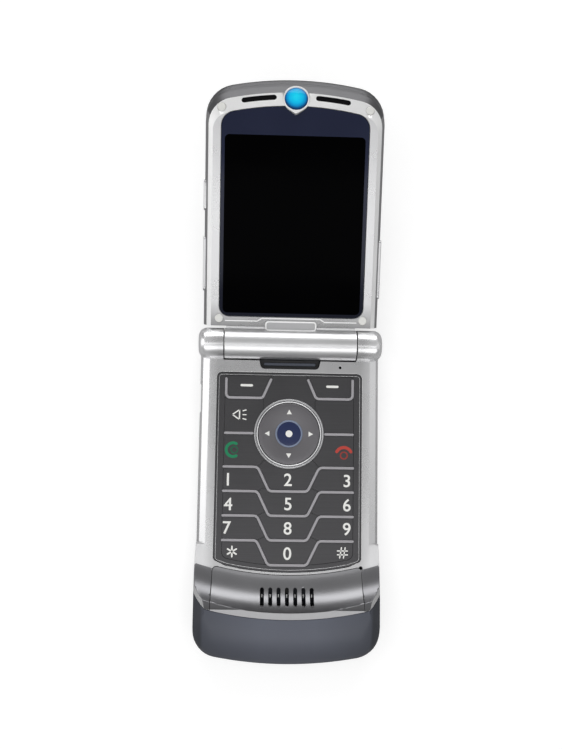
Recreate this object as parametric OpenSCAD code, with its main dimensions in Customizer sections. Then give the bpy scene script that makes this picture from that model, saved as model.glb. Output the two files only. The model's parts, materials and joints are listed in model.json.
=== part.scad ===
// Flip phone, opened. X runs across the phone, +Y from the hinge towards the lid's tip, +Z out of
// the keypad. The origin lies on the back rest face, straight below the hinge axis. Millimetres.

/* [Overall] */
// Thickness of the base at the keypad
base_t = 7.2; // [6.8:0.1:8.5]
// Thickness of the lid
lid_t = 6.2; // [5.8:0.1:7.5]
// Air gap between the two inner faces when closed
closed_gap = 0.5; // [0.4:0.05:0.9]
// Half width of the base at its rails
base_half = 26.4; // [25.9:0.1:28]
// How far the crown ridges lie inside the rails
crown_in = 2.8; // [2.4:0.1:3.4]
// How much narrower the lid is than the base, on each side
lid_in = 0.6; // [0.3:0.1:1]
// How far the lid's tip reaches past the foot of the ramp
tip_reach = 8.54; // [8.14:0.1:8.94]
// How far the lid opens
open_angle = 164.6; // [140:0.2:168]

/* [Arches] */
// Distance of the common centre of all cross arches behind the hinge axis
arch_back = 22; // [16:1:30]
// Distance from the keypad plate to the foot of the ramp
ramp_gap = 1.06; // [0.76:0.1:1.56]
// Radius of the ramp's hollow section
ramp_r = 10.73; // [10.2:0.1:11.2]
// Thickness of the bright rim round the ramp
rim_t = 1.6; // [1.3:0.1:2]
// Thickness of the ramp cover
ramp_cover_t = 1; // [0.8:0.1:1.2]
// Width of the metal beside the ramp cover
ramp_side = 4.8; // [4.4:0.1:8]

/* [Chin] */
// Height of the chin's top
chin_h = 13; // [12.6:0.1:13.6]
// How much wider the chin is than the base, on each side
chin_flare = 0.4; // [0.1:0.1:1.2]
// How far the flat top's ridges lie inside the chin's sides
ridge_in = 3.5; // [3:0.1:6]
// Rounding of the chin's corners in plan
chin_round = 7.4; // [4:0.2:8]
// Distance from the foot of the ramp to the end of the chin
chin_len = 25.04; // [23.04:0.5:29.04]
// Distance from the keypad plate to the front of the chin cover
chin_gap = 0.1; // [0.05:0.05:0.5]
// Wall of the chin cover
chin_wall = 1.5; // [1.2:0.1:2]

/* [Housing] */
// Wall of the casings
wall = 1.4; // [1:0.1:1.8]
// Height of the parting line between front and rear casing
parting_z = 3; // [2.6:0.1:3.6]
// Visible seam between neighbouring pieces
seam = 0.12; // [0.05:0.01:0.2]
// Thickness of the floor of the rear casing
floor_t = 1.6; // [1.3:0.1:2]
// Thickness of the plate round the keypad
plate_t = 1.2; // [1:0.1:1.4]

/* [Hinge] */
// Radius of the hinge barrel and knuckles
barrel_r = 4.5; // [4:0.1:4.7]
// Length of a knuckle along the hinge axis
knuckle_w = 7.4; // [6.6:0.1:9]
// Gap between barrel and knuckles
knuckle_gap = 0.25; // [0.15:0.05:0.4]
// How far a knuckle stands out past the rails
knuckle_out = 0.6; // [0.3:0.1:1.4]
// Rounding of a knuckle's outer end
knuckle_round = 2.4; // [1:0.1:3]
// Air round the barrel
barrel_air = 0.35; // [0.25:0.05:0.5]
// Radius of the hinge pins
pin_r = 1.9; // [1.5:0.1:2.2]
// Running clearance of a hinge pin
pin_fit = 0.05; // [0.02:0.01:0.08]
// How deep a pin sits in its knuckle
pin_seat = 5.2; // [4:0.1:6]
// How deep a pin runs in the barrel
pin_run = 4.4; // [3:0.1:6]
// Radius of the hinge cartridge
cartridge_r = 3.2; // [2.8:0.1:3.5]
// Length of the hinge cartridge
cartridge_len = 13; // [10:0.5:16]
// Distance from the hinge axis to the lid's lower edge
lid_start = 5.2; // [5:0.1:5.6]

/* [Keypad] */
// Width of the metal beside the keypad plate
pad_side = 2.2; // [1.6:0.1:2.6]
// Distance from the hinge axis to the keypad's top edge
pad_top = 8.45; // [8.3:0.05:9]
// Distance from the hinge axis to the keypad's arched bottom
pad_bottom = 66.4; // [66:0.1:66.6]
// Width of the margin round the keys
pad_margin = 2.4; // [1.8:0.1:3]
// How far the keypad lies below the casing's face
pad_sink = 0.25; // [0.15:0.05:0.4]
// Thickness of the keys
key_t = 0.7; // [0.5:0.05:0.8]
// Travel of the keys
key_travel = 0.25; // [0.2:0.05:0.3]
// Gap between neighbouring keys
key_gap = 0.1; // [0.1:0.02:0.24]
// Width of the ribs between the keys
rib_w = 0.76; // [0.5:0.02:1]
// How far the ribs stand out of the keys
rib_rise = 0.22; // [0.1:0.02:0.3]
// Distance from the hinge axis to the first number rib
rib_start = 36.2; // [36:0.1:36.4]
// Half width of a cup rib at its top
cup_top_half = 9; // [8.4:0.1:9.6]
// Half width of a cup rib at its bottom
cup_low_half = 5.6; // [5:0.1:6.2]
// Rounding of the ribs' bends
bend_r = 1.5; // [0.8:0.1:2]
// Distance from the hinge axis to the soft keys' lower rib
soft_low = 16; // [15.6:0.1:16.2]
// Half width between the soft keys at their lower rib
soft_in_low = 7.9; // [7:0.1:8.4]
// Half width between the soft keys at their top
soft_in_top = 5.5; // [4.6:0.1:6]

/* [Navigation] */
// Distance from the hinge axis to the centre of the navigation ring
nav_y = 26.4; // [26:0.1:26.6]
// Outer radius of the bright trim ring
trim_r = 10.26; // [9.8:0.02:10.4]
// Width of the bright trim ring
trim_w = 1.15; // [0.8:0.05:1.4]
// Radius of the select key
select_r = 3.6; // [3:0.1:4]
// Running gap round the navigation ring
nav_gap = 0.15; // [0.1:0.01:0.25]
// Tilt of the navigation ring each way
nav_tilt = 1.6; // [1:0.1:2]

/* [Lid face] */
// Width of the metal beside the main lens
lens_side = 2.3; // [2:0.1:3]
// Distance from the hinge axis to the main lens's lower edge
lens_low = 8; // [7.9:0.1:9]
// Distance from the main lens's arched top to the lid's tip
lens_end = 7.7; // [7.6:0.1:8.4]
// Thickness of the main lens
lens_t = 0.8; // [0.6:0.05:1]
// Width of the lens beside the display
display_side = 1.1; // [0.9:0.1:3]
// Height of the lens below the display
display_foot = 1.1; // [1:0.1:4]
// Height of the lens above the display
display_head = 8.2; // [6.4:0.1:12]
// Distance from the jewel's centre to the lid's tip
jewel_end = 5.6; // [5.4:0.1:6]
// Radius of the jewel
jewel_r = 3.35; // [3:0.05:3.5]
// How far the jewel's dome stands out of its seat
jewel_rise = 0.45; // [0.2:0.05:0.5]
// Radius of the jewel's dome
jewel_dome = 11; // [9:0.5:20]
// Lean of the jewel towards the lid's tip
jewel_tilt = 17; // [12:1:18]
// Width of the jewel's bezel
bezel_w = 0.5; // [0.4:0.05:0.7]
// Half width of the tab over the hinge
tab_half = 7.6; // [6:0.1:7.8]
// Distance from the hinge axis to the tab's lower edge
tab_low = 3.9; // [3.7:0.1:4.1]
// Height of the tab
tab_len = 3; // [2.6:0.1:3]
// Rounding of the tab's corners
tab_round = 1; // [0.4:0.1:1.3]
// Width of the tab's raised rim
tab_rim = 0.45; // [0.3:0.05:0.7]
// Width of the raised line round the tab
line_w = 0.3; // [0.2:0.05:0.4]
// How far the raised line stands out of the lid
line_rise = 0.12; // [0.05:0.01:0.15]
// Radius of the rubber bumpers
bumper_r = 1.25; // [1:0.05:1.3]

/* [Side keys] */
// How far a side key stands out of the lid
side_key_out = 0.4; // [0.2:0.05:0.6]
// Height of a side key
side_key_h = 1.9; // [1.4:0.1:2.2]
// Play of a side key in its slot
side_key_play = 0.2; // [0.15:0.05:0.3]
// Distance from the hinge axis to the smart key
smart_start = 38.6; // [35:0.1:44]
// Length of the smart key
smart_len = 8.8; // [6:0.1:12]
// Distance from the hinge axis to the volume key
volume_start = 15.2; // [12:0.1:17]
// Length of the volume key
volume_len = 16; // [12:0.1:17]
// Distance from the hinge axis to the voice key
voice_start = 13.7; // [12:0.1:18]
// Length of the voice key
voice_len = 17.5; // [12:0.1:20]

/* [Back] */
// Thickness of the battery door
door_t = 0.85; // [0.6:0.05:1]
// Width of the rear casing beside the battery door
door_side = 6; // [5:0.1:8]
// Distance from the hinge axis to the near edge of the battery door
door_near = 17; // [16.8:0.1:20]
// Distance from the battery door to the chin cover
door_end = 2.1; // [1.7:0.1:4.5]
// Rounding of the battery door's corners
door_round = 4; // [1:0.1:8]
// Play of the door and the latch
door_play = 0.2; // [0.15:0.05:0.3]
// How far the battery lies inside the edges of its door
battery_in = 3.4; // [3:0.1:5]
// Half width of the latch
latch_half = 5; // [3:0.1:8]
// Length of the latch along its travel
latch_len = 3.2; // [2.6:0.1:3.6]
// Travel of the latch
latch_travel = 1; // [0.6:0.1:1.4]

/* [Hidden] */
$fn = 48;
eps = 0.01;
big = 200;
hinge_z = base_t + closed_gap / 2;
lid_rise = 180 - open_angle;
lid_face = -closed_gap / 2;
lid_back = lid_face - lid_t;

// Places along the phone, counted from the keypad plate's arched edge
chin_start = pad_bottom + chin_gap;
ramp_start = pad_bottom + ramp_gap;
ramp_c = [arch_back + ramp_start, base_t + ramp_r];
base_len = ramp_start + chin_len;
lid_len = ramp_start + tip_reach;
lens_top = lid_len - lens_end;
display_low = lens_low + display_foot;
display_top = lens_top - display_head;
jewel_y = lid_len - jewel_end;
door_far = chin_start - door_end;
battery_near = door_near + battery_in;
battery_far = door_far - battery_in;
latch_start = chin_start + 0.9;
slot_top = ramp_start + 3.64;
slot_len = 3.8;
mic_y = slot_top - 0.5;

// Half widths, counted from the rails
lid_half = base_half - lid_in;
crown_half = base_half - crown_in;
chin_half = base_half + chin_flare;
ramp_half = base_half - ramp_side;
pad_half = crown_half - pad_side;
lens_half = crown_half - lens_side;
display_half = lens_half - display_side;
door_half = base_half - door_side;
battery_half = door_half - battery_in;
board_air = 1.2;
board_half = base_half - wall - board_air;
web_half = board_half - board_air;
speaker_half = board_half - 12.8;
knuckle_end = base_half + knuckle_out;
knuckle_in = knuckle_end - knuckle_w;
barrel_half = knuckle_in - knuckle_gap;

// Air between stacked layers, between a piece and its seat, and round a screw boss
layer_gap = 0.05;
seat_fit = 0.02;
boss_gap = 0.25;

// Heights of the layers under the keypad, from the top down
pad_z = base_t - pad_sink;
key_z = pad_z - key_t;
web_top = min(key_z - key_travel, base_t - plate_t) - layer_gap;
web_t = 0.3;
dome_top = web_top - web_t - layer_gap;
dome_t = 0.25;
board_top = dome_top - dome_t - layer_gap;
board_t = 0.75;
board_z = board_top - board_t;

wall_front = pad_top + 0.35;
pad_corner = 1.4;
field_half = pad_half - pad_margin;
field_bottom = pad_bottom - 2;
upper_seam = 7.6;
row_pitch = (field_bottom - rib_start) / 4;
cup_depth = row_pitch - layer_gap;

// The ring tilts over its actuator plate, and the plate over the dome sheet
trim_in = trim_r - trim_w;
nav_c = [0, -nav_y];
nav_swing = (trim_in - nav_gap) * tan(nav_tilt);
actuator_t = 0.2;
actuator_z = dome_top + nav_swing + layer_gap;
ring_z = actuator_z + actuator_t + nav_swing + layer_gap;
select_gap = 0.3;
lid_parting = lid_face - 3.35;
lid_floor = lid_face - 1.75;
cover_floor = lid_back + 1;
screw_x = base_half - 4.1;
screw_low = chin_start - 5.5;
screw_places = [[screw_x, -13.6], [-screw_x, -24.6], [screw_x, -screw_low], [-screw_x, -screw_low]];
screw_r = 0.6;
screw_head_r = 1.35;
boss_r = 2;
side_key_mid = (lid_face + lid_back) / 2 - 0.1;
side_key_in = 2;
volume_pin = [lid_half - side_key_in + 0.7, volume_start + volume_len / 2, side_key_mid];
volume_pin_r = 0.5;
port_y = [-12.2, -20.2];
port_z = 3.5;
port_half_h = 1.75;

// Room inside the chin, and the antenna that lines it
chin_room = [chin_half - 4.3, base_len - 6.5, chin_h - 3.5];
antenna_t = 1.6;
antenna_end = chin_room.y - 0.4;

// The black liner of the notch in front of the barrel
notch_z = base_t - 1.6;
liner_t = 1;
notch_far = tab_low + tab_len + 0.4;
flex_bar = [tab_half - 0.3, 1.5 - notch_far];

// Outer display: its cover and the opening behind it
outer_low = 15;
outer_top = 36;
outer_window = [9, 17.5, 31];
digit_rows = [["key_1", "key_2", "key_3"], ["key_4", "key_5", "key_6"],
              ["key_7", "key_8", "key_9"], ["key_star", "key_0", "key_hash"]];

silver = [0.76, 0.77, 0.78];
dark_metal = [0.27, 0.27, 0.29];
rib_grey = [0.62, 0.61, 0.63];
chin_grey = [0.30, 0.31, 0.35];
board_green = [0.10, 0.35, 0.20];
steel = [0.70, 0.70, 0.72];
black = [0.06, 0.06, 0.07];

// ---------------------------------------------------------------- outlines

function shortest(a) = a > 180 ? a - 360 : a < -180 ? a + 360 : a;

// Points of an arc about c
function arc(c, r, from, turn, n) =
    [for (i = [0:n]) c + r * [cos(from + turn * i / n), sin(from + turn * i / n)]];

// The bend between a-b and b-c as an arc of radius r
function bend(a, b, c, r, n = 5) =
    let (u = (a - b) / norm(a - b), v = (c - b) / norm(c - b),
         half = acos(min(max(u * v, -1), 1)) / 2,
         m = b + (u + v) / norm(u + v) * r / sin(half),
         s = b + u * r / tan(half) - m,
         e = b + v * r / tan(half) - m,
         from = atan2(s.y, s.x))
    arc(m, r, from, shortest(atan2(e.y, e.x) - from), n);

// A closed outline with every corner rounded
function rounded(p, r, n = 5) =
    let (k = len(p))
    [for (i = [0:k - 1]) each bend(p[(i + k - 1) % k], p[i], p[(i + 1) % k], r, n)];

// An open line with its inner corners rounded
function eased(p, r, n = 5) =
    [p[0], for (i = [1:len(p) - 2]) each bend(p[i - 1], p[i], p[i + 1], r, n), p[len(p) - 1]];

// Left-hand normal of a line at point i
function side_of(p, i) =
    let (a = p[max(i - 1, 0)], b = p[min(i + 1, len(p) - 1)], d = (b - a) / norm(b - a))
    [-d.y, d.x];

// A line drawn with a pen of width w, with round ends
function stroke(p, w) =
    let (k = len(p) - 1,
         a = side_of(p, 0), z = side_of(p, k))
    concat([for (i = [0:k]) p[i] + side_of(p, i) * w / 2],
           arc(p[k], w / 2, atan2(z.y, z.x), -180, 6),
           [for (i = [k:-1:0]) p[i] - side_of(p, i) * w / 2],
           arc(p[0], w / 2, atan2(-a.y, -a.x), -180, 6));

// Distance along Y at which the arch through the middle point y passes x
function arch(y, x) = sqrt(pow(arch_back + y, 2) - x * x) - arch_back;

// Half an outline that ends in an arch, with its corner rounded, from the side to the middle
function arched_end(half, end, r, n = 8) =
    let (tip = arch_back + end,
         c = [half - r, sqrt(pow(tip - r, 2) - pow(half - r, 2)) - arch_back],
         turn = atan2(c.y + arch_back, c.x))
    concat(arc(c, r, 0, turn, n), arc([0, -arch_back], tip, turn, 90 - turn, n));

function flip_x(p) = [for (i = [len(p) - 1:-1:0]) [-p[i].x, p[i].y]];
function flip_y(p) = [for (q = p) [q.x, -q.y]];

// A plan that starts with a straight edge and ends in an arch, growing towards +Y
function arched_plan(half, start, end, r) =
    let (side = arched_end(half, end, r))
    concat([[half, start]], side, flip_x(side), [[-half, start]]);

module slab(low, high) translate([0, 0, low]) linear_extrude(high - low) children();

module box(low, high) translate(low) cube(high - low);

// ---------------------------------------------------------------- shared forms

// Everything that the ramp and the lid's tip leave free, grown outwards by extra
module bowl(extra) {
    translate([0, arch_back, 0]) rotate_extrude($fn = 180) union() {
        translate([0, base_t - extra]) square([ramp_c.x, big]);
        intersection() {
            translate(ramp_c) circle(r = ramp_r + extra, $fn = 96);
            translate([ramp_c.x - eps, base_t - extra]) square([30, ramp_r + extra]);
        }
        translate([ramp_c.x - eps, ramp_c.y]) square([ramp_r + extra + eps, big]);
    }
}

// Outer form of the keypad half: height, half width, reach towards the lid
low_levels = [[0, -3.8, 0.6], [1.2, -1.2, 2.8], [parting_z, -0.1, 3.9],
              [base_t - 2.2, 0, 4.3], [base_t - 0.8, -0.8, 4.3], [base_t, crown_half - base_half, 4.3]];
module low_form() hull() for (l = low_levels)
    slab(l[0] - (l[0] > 0 ? eps : 0), l[0] + (l[0] > 0 ? 0 : eps))
        translate([-base_half - l[1], -chin_start])
            square([2 * (base_half + l[1]), chin_start + l[2]]);

// Outer form of the chin: height, how far the sides lie in, front from the foot of the ramp,
// how far the end lies in, and the corners' rounding
chin_levels = [[0, 4.2, -7.5, 5.7, chin_round], [1.2, 1.6, -8.5, 2.3, chin_round],
               [3, 0.3, -9, 0.6, chin_round], [4.8, 0, -9.5, 0, chin_round],
               [7, 0, -9.5, 0.6, chin_round], [9, 0.1, -1.5, 2.2, chin_round],
               [11, 1.6, 4.5, 5.2, chin_round - 1], [chin_h - 0.7, 2.8, 8, 8.3, 4],
               [chin_h, ridge_in, 9, 11.9, 2]];
flare_len = 8;
function chin_plan(l) =
    let (half = chin_half - l[1], front = ramp_start + l[2],
         end = arched_end(half, base_len - l[3], l[4]),
         side = concat([[min(half, base_half - l[1]), front],
                        [half, min(front + flare_len, end[0].y - 0.2)]], end))
    flip_y(concat(side, flip_x(side)));
module chin_form() hull() for (l = chin_levels)
    slab(l[0] - (l[0] > 0 ? eps : 0), l[0] + (l[0] > 0 ? 0 : eps)) polygon(chin_plan(l));

// Outer form of the lid, lying with its inner face up: depth, half width, tip, corner radius
lid_levels = [[lid_face, crown_half, lid_len - 8, 4.5],
              [lid_face - 1.05, lid_half - 0.9, lid_len - 3.9, 7.5],
              [lid_face - 2.7, lid_half, lid_len - 1.9, 8.5],
              [lid_face - 4.4, lid_half, lid_len, 9],
              [lid_back + 0.7, lid_half - 0.9, lid_len - 0.7, 8.5],
              [lid_back, lid_half - 3, lid_len - 2.6, 7]];
module lid_form() hull() for (l = lid_levels)
    slab(l[0] - (l[0] < lid_face ? 0 : eps), l[0] + (l[0] < lid_face ? eps : 0))
        polygon(arched_plan(l[1], lid_start, l[2], l[3]));

// Places what is drawn with the inner face up onto the opened lid
module on_lid() translate([0, 0, hinge_z]) rotate([lid_rise, 0, 0]) children();

module across(r, from, to) translate([from, 0, 0]) rotate([0, 90, 0]) cylinder(r = r, h = to - from);

module mirrored() {
    children();
    mirror([1, 0, 0]) children();
}

// ---------------------------------------------------------------- keypad layout

// Lines of the ribs: one cup rib per number row, the soft key ribs and the middle ribs
function row_y(n) = -(rib_start + n * row_pitch);
function cup_half_line(n, s) =
    [[s * (field_half - 0.1), row_y(n)], [s * cup_top_half, row_y(n)],
     [s * cup_low_half, row_y(n) - cup_depth]];
function cup_line(n) =
    let (a = cup_half_line(n, -1), b = cup_half_line(n, 1))
    eased([a[0], a[1], a[2], b[2], b[1], b[0]], bend_r);
function soft_line(s) =
    eased([[s * (field_half - 0.35), -pad_top - 1.95], [s * (field_half - 0.35), -soft_low],
           [s * soft_in_low, -soft_low], [s * soft_in_top, -pad_top - 2.05]], bend_r - 0.3);
function middle_line(s) =
    [[s * (trim_r + rib_w / 2 + layer_gap), -nav_y], [s * (field_half - 0.3), -nav_y]];

module cup_rib(n, w) polygon(stroke(cup_line(n), w));
module soft_rib(s, w) polygon(stroke(soft_line(s), w));
module middle_rib(s, w) polygon(stroke(middle_line(s), w));
module nav_disc(r) translate(nav_c) circle(r = r);

// The narrow neck beside a cup rib's bend, where one key ends and the next begins
neck_along = row_pitch * cup_depth / (pow(cup_top_half - cup_low_half, 2) + pow(cup_depth, 2));
function neck(n, s) =
    [s * (cup_top_half - (cup_top_half - cup_low_half) * neck_along), row_y(n) - cup_depth * neck_along];

// Plan of a side key of number row n, on side s
module outer_cell(n, s) difference() {
    intersection() {
        polygon(n < 3
            ? [[s * field_half, row_y(n)], [s * cup_top_half, row_y(n)], neck(n, s),
               [s * cup_top_half, row_y(n + 1)], [s * field_half, row_y(n + 1)]]
            : [[s * field_half, row_y(n)], [s * cup_top_half, row_y(n)],
               [s * cup_low_half, row_y(n) - cup_depth], [s * cup_low_half, row_y(n) - 20],
               [s * field_half, row_y(n) - 20]]);
        polygon(flip_y(arched_plan(field_half, pad_top, field_bottom, 2)));
    }
    cup_rib(n, rib_w + key_gap);
    if (n < 3) cup_rib(n + 1, rib_w + key_gap);
}

// Plan of the middle key of number row n
module middle_cell(n) difference() {
    polygon(concat(
        n > 0 ? [[-cup_low_half, row_y(n - 1) - cup_depth], neck(n - 1, -1)] : [nav_c],
        [[-cup_top_half, row_y(n)], [-cup_low_half, row_y(n) - cup_depth],
         [cup_low_half, row_y(n) - cup_depth], [cup_top_half, row_y(n)]],
        n > 0 ? [neck(n - 1, 1), [cup_low_half, row_y(n - 1) - cup_depth]] : []));
    cup_rib(n, rib_w + key_gap);
    if (n > 0) cup_rib(n - 1, rib_w + key_gap);
    if (n == 0) nav_disc(trim_r + key_gap / 2);
}

// Plan of a soft key
module soft_cell(s) difference() {
    polygon([[s * (field_half - 0.35), -pad_top - 0.95], [s * (field_half - 0.35), -soft_low],
             [s * soft_in_low, -soft_low], [s * (soft_in_top - 0.4), -pad_top - 0.95]]);
    soft_rib(s, rib_w + key_gap);
}

// Plan of the key above a middle rib
module upper_cell(s) difference() {
    polygon([[s * field_half, -soft_low], [s * upper_seam, -soft_low], [s * upper_seam, -nav_y + 6],
             nav_c, [s * field_half, -nav_y]]);
    soft_rib(s, rib_w + key_gap);
    middle_rib(s, rib_w + key_gap);
    nav_disc(trim_r + key_gap / 2);
}

// Plan of the key below a middle rib
module lower_cell(s) difference() {
    polygon([[s * field_half, -nav_y], nav_c, [s * cup_top_half, row_y(0)], [s * field_half, row_y(0)]]);
    middle_rib(s, rib_w + key_gap);
    cup_rib(0, rib_w + key_gap);
    nav_disc(trim_r + key_gap / 2);
}

module key_body() slab(key_z, pad_z) offset(delta = -key_gap / 2) children();

module digit_key(row, column)
    key_body() if (column == 1) middle_cell(row); else outer_cell(row, column - 1);

// ---------------------------------------------------------------- base, fixed pieces

module barrel_room() {
    translate([0, 0, hinge_z]) across(barrel_r + barrel_air, -knuckle_in, knuckle_in);
    box([-knuckle_in, -barrel_r - barrel_air, hinge_z], [knuckle_in, 0, 20]);
    box([-knuckle_in, 2.2, -1], [knuckle_in, 12, 20]);
    box([-knuckle_in, 0, hinge_z - barrel_r], [knuckle_in, 12, 20]);
}

module knuckle() translate([0, 0, hinge_z]) rotate([0, 90, 0]) rotate_extrude() polygon(concat(
    [[0, knuckle_in], [barrel_r, knuckle_in]],
    arc([barrel_r - knuckle_round, knuckle_end - knuckle_round], knuckle_round, 0, 90, 6),
    [[0, knuckle_end]]));

module base_cavity() {
    mirrored() box([-eps, -chin_start + wall, floor_t], [base_half - wall, -wall_front, base_t - plate_t]);
}

module screw_holes(r, low, high)
    for (p = screw_places) translate([p.x, p.y, low]) cylinder(r = r, h = high - low);

module port_room(grow) box([-big, port_y[1] - grow, port_z - port_half_h - grow],
                          [-base_half + 6, port_y[0] + grow, port_z + port_half_h + grow]);

// Plan of the ramp cover, with its upper corners rounded
ramp_front_r = ramp_c.x - 0.25;
module ramp_plan(grow) offset(delta = grow) offset(r = 1.2) offset(delta = -1.2) difference() {
    polygon([[-ramp_half + 0.5, -50], [-ramp_half - 0.5, -90],
             [ramp_half + 0.5, -90], [ramp_half - 0.5, -50]]);
    translate([0, arch_back]) circle(r = ramp_front_r, $fn = 360);
}

// Room of the ramp cover: a skin under the ramp, with a lip over the rim as far as back
module ramp_room(grow, back) intersection() {
    slab(-1, big) ramp_plan(grow);
    union() {
        bowl(ramp_cover_t + grow);
        intersection() {
            bowl(back);
            box([-big, -big, chin_h - 1.8 - grow], [big, 0, big]);
        }
    }
}

// The notch takes up the lid's tab when the phone is closed
module notch_plan(grow) offset(delta = grow) polygon(eased([[-tab_half - 1.8, -3],
    [-tab_half - 0.9, -notch_far], [tab_half + 0.9, -notch_far], [tab_half + 1.8, -3]], 1.3));

module base_frame() color(silver) difference() {
    union() {
        difference() {
            union() {
                low_form();
                intersection() {
                    chin_form();
                    bowl(rim_t);
                }
            }
            box([-big, -big, -1], [big, big, parting_z + seam / 2]);
            box([-big, -chin_start - 8, -1], [big, -chin_start + seam, base_t - rim_t]);
            barrel_room();
            base_cavity();
            bowl(0);
        }
        mirrored() difference() {
            knuckle();
            box([-big, -big, -1], [big, big, parting_z + seam / 2]);
        }
        screw_holes(boss_r, parting_z + seam / 2, base_t - plate_t + eps);
    }
    screw_holes(screw_r + seat_fit, -1, base_t - plate_t - 0.6);
    slab(base_t - plate_t - 1, big) polygon(rounded(pad_frame_points, pad_corner));
    ramp_room(seam, rim_t + 1);
    slab(base_t - 6, big) polygon(stroke([[-3 * slot_pitch, -slot_top - slot_len / 2],
                                          [3 * slot_pitch, -slot_top - slot_len / 2]], slot_len + 1));
    slab(notch_z - liner_t, big) notch_plan(0);
    port_room(0.15);
    mirrored() translate([0, 0, hinge_z]) across(pin_r + seat_fit, knuckle_in - 1, knuckle_in + pin_seat);
    translate([14.9, -6.6, base_t - 1]) cylinder(r = 0.4, h = 5);
    translate([base_half - 5.1, -pad_bottom + 1.5, base_t - 0.9]) cylinder(r = 0.5, h = 5);
}

// The keypad opening: straight sides and an arched lower edge
pad_frame_points = concat([[pad_half, -pad_top], [-pad_half, -pad_top]],
    [for (i = [0:12]) let (x = -pad_half + 2 * pad_half * i / 12)
        [x, -arch(pad_bottom, x) + (i == 0 || i == 12 ? 0.9 : 0)]]);

module grille() for (row = [0:2], i = [-6:6])
    translate([i * 1.7 + (row % 2) * 0.85, -10.4 - row * 1.5, -1]) cylinder(r = 0.45, h = 3, $fn = 16);

module door_plan(play) polygon(rounded([[-door_half - play, -door_near + play],
    [door_half + play, -door_near + play], [door_half + play, -door_far - play],
    [-door_half - play, -door_far - play]], door_round));

module rear_housing() color(chin_grey) difference() {
    union() {
        difference() {
            low_form();
            box([-big, -big, parting_z - seam / 2], [big, big, big]);
            box([-big, -big, -1], [big, -chin_start + seam, big]);
            base_cavity();
            barrel_room();
        }
        screw_holes(boss_r, floor_t - eps, parting_z - seam / 2);
    }
    slab(-1, door_t + 0.15) door_plan(door_play);
    box([-battery_half - 0.9, -battery_far - 0.6, -1],
        [battery_half + 0.9, -battery_near + 0.6, floor_t + 1]);
    grille();
    port_room(0.15);
    screw_holes(screw_r + 0.1, -1, 5);
    screw_holes(screw_head_r + 0.1, -1, 0.7);
}

module chin_cover() color(chin_grey) difference() {
    intersection() {
        chin_form();
        box([-big, -big, -1], [big, -chin_start, big]);
    }
    bowl(rim_t + seam);
    difference() {
        box([-chin_room.x, -chin_room.y, chin_wall], [chin_room.x, -chin_start + 1, chin_room.z]);
        box([-latch_half - 2, -latch_start - latch_len - latch_travel - 2.9, -1],
            [latch_half + 2, -chin_start - 0.2, 3.4]);
    }
    box([-latch_half - door_play, -latch_start - latch_len - latch_travel - door_play, -1],
        [latch_half + door_play, -latch_start + door_play, 1.9]);
    mirror([1, 0, 0]) translate([chin_half - 2.1, -base_len + 9.1, 4.2]) difference() {
        box([-1.2, -2.4, -0.8], [4, 2.4, 1.6]);
        box([0.9, -0.75, -2], [4, 0.75, 3]);
    }
}

slot_pitch = 2.38;
module mic_cover() color(silver) difference() {
    intersection() {
        chin_form();
        ramp_room(0, rim_t);
    }
    bowl(0);
    for (i = [-3:3]) translate([i * slot_pitch, 0, 0]) linear_extrude(big)
        polygon(stroke([[0, -slot_top], [0, -slot_top - slot_len]], 1.15));
}

module keypad_plate() color(dark_metal) slab(web_top, pad_z) difference() {
    offset(delta = -0.08) polygon(rounded(pad_frame_points, pad_corner));
    difference() {
        polygon(flip_y(arched_plan(field_half + key_gap / 2, soft_low, field_bottom + key_gap / 2, 2)));
        translate([-upper_seam + key_gap / 2, -nav_y + 6]) square([2 * upper_seam - key_gap, 20]);
    }
    nav_disc(trim_r + key_gap / 2);
    for (s = [-1, 1]) {
        soft_rib(s, rib_w + key_gap);
        offset(delta = key_gap) soft_cell(s);
        middle_rib(s, rib_w + key_gap);
    }
    for (n = [0:3]) cup_rib(n, rib_w + key_gap);
}

module key_web() color(rib_grey) {
    difference() {
        slab(web_top - web_t, web_top) difference() {
            polygon(flip_y(arched_plan(web_half, wall_front + 0.1, chin_start - wall - 0.2, 3)));
            nav_disc(trim_in - 0.1);
        }
        screw_holes(boss_r + boss_gap, 0, base_t);
    }
    slab(web_top - eps, pad_z + rib_rise) {
        for (n = [0:3]) cup_rib(n, rib_w);
        for (s = [-1, 1]) {
            soft_rib(s, rib_w);
            middle_rib(s, rib_w);
        }
    }
}

module nav_trim() color(steel) translate(concat(nav_c, web_top)) rotate_extrude($fn = 96) polygon([
    [trim_in, 0], [trim_r, 0], [trim_r, pad_z - web_top + 0.1], [trim_r - 0.2, pad_z - web_top + 0.28],
    [trim_r - 0.4, pad_z - web_top + 0.1], [trim_in + 0.35, pad_z - web_top + 0.1],
    [trim_in + 0.15, pad_z - web_top + 0.25], [trim_in, pad_z - web_top + 0.1]]);

module dome_sheet() color("white") difference() {
    slab(dome_top - dome_t, dome_top)
        polygon(flip_y(arched_plan(pad_half, wall_front + 0.2, chin_start - wall - 0.6, 3)));
    screw_holes(boss_r + boss_gap, 0, base_t);
}

module main_board() color(board_green) {
    difference() {
        slab(board_z, board_top)
            polygon(flip_y(arched_plan(board_half, wall_front + 0.15, chin_start - wall - 0.4, 3)));
        screw_holes(boss_r + boss_gap, 0, base_t);
        port_room(0.3);
    }
    box([-4.5, -battery_near + 0.8, floor_t], [4.5, -battery_near + 2.2, board_z + eps]);
}

module shield_cans() color(steel) {
    box([board_half - 11.3, -battery_near + 2.4, floor_t + 0.2],
        [board_half - 4.4, -wall_front - 0.6, board_z]);
    box([-battery_half + 5, -battery_near - 23.6, board_z - 0.4], [4, -battery_near - 5.6, board_z]);
}

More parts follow.
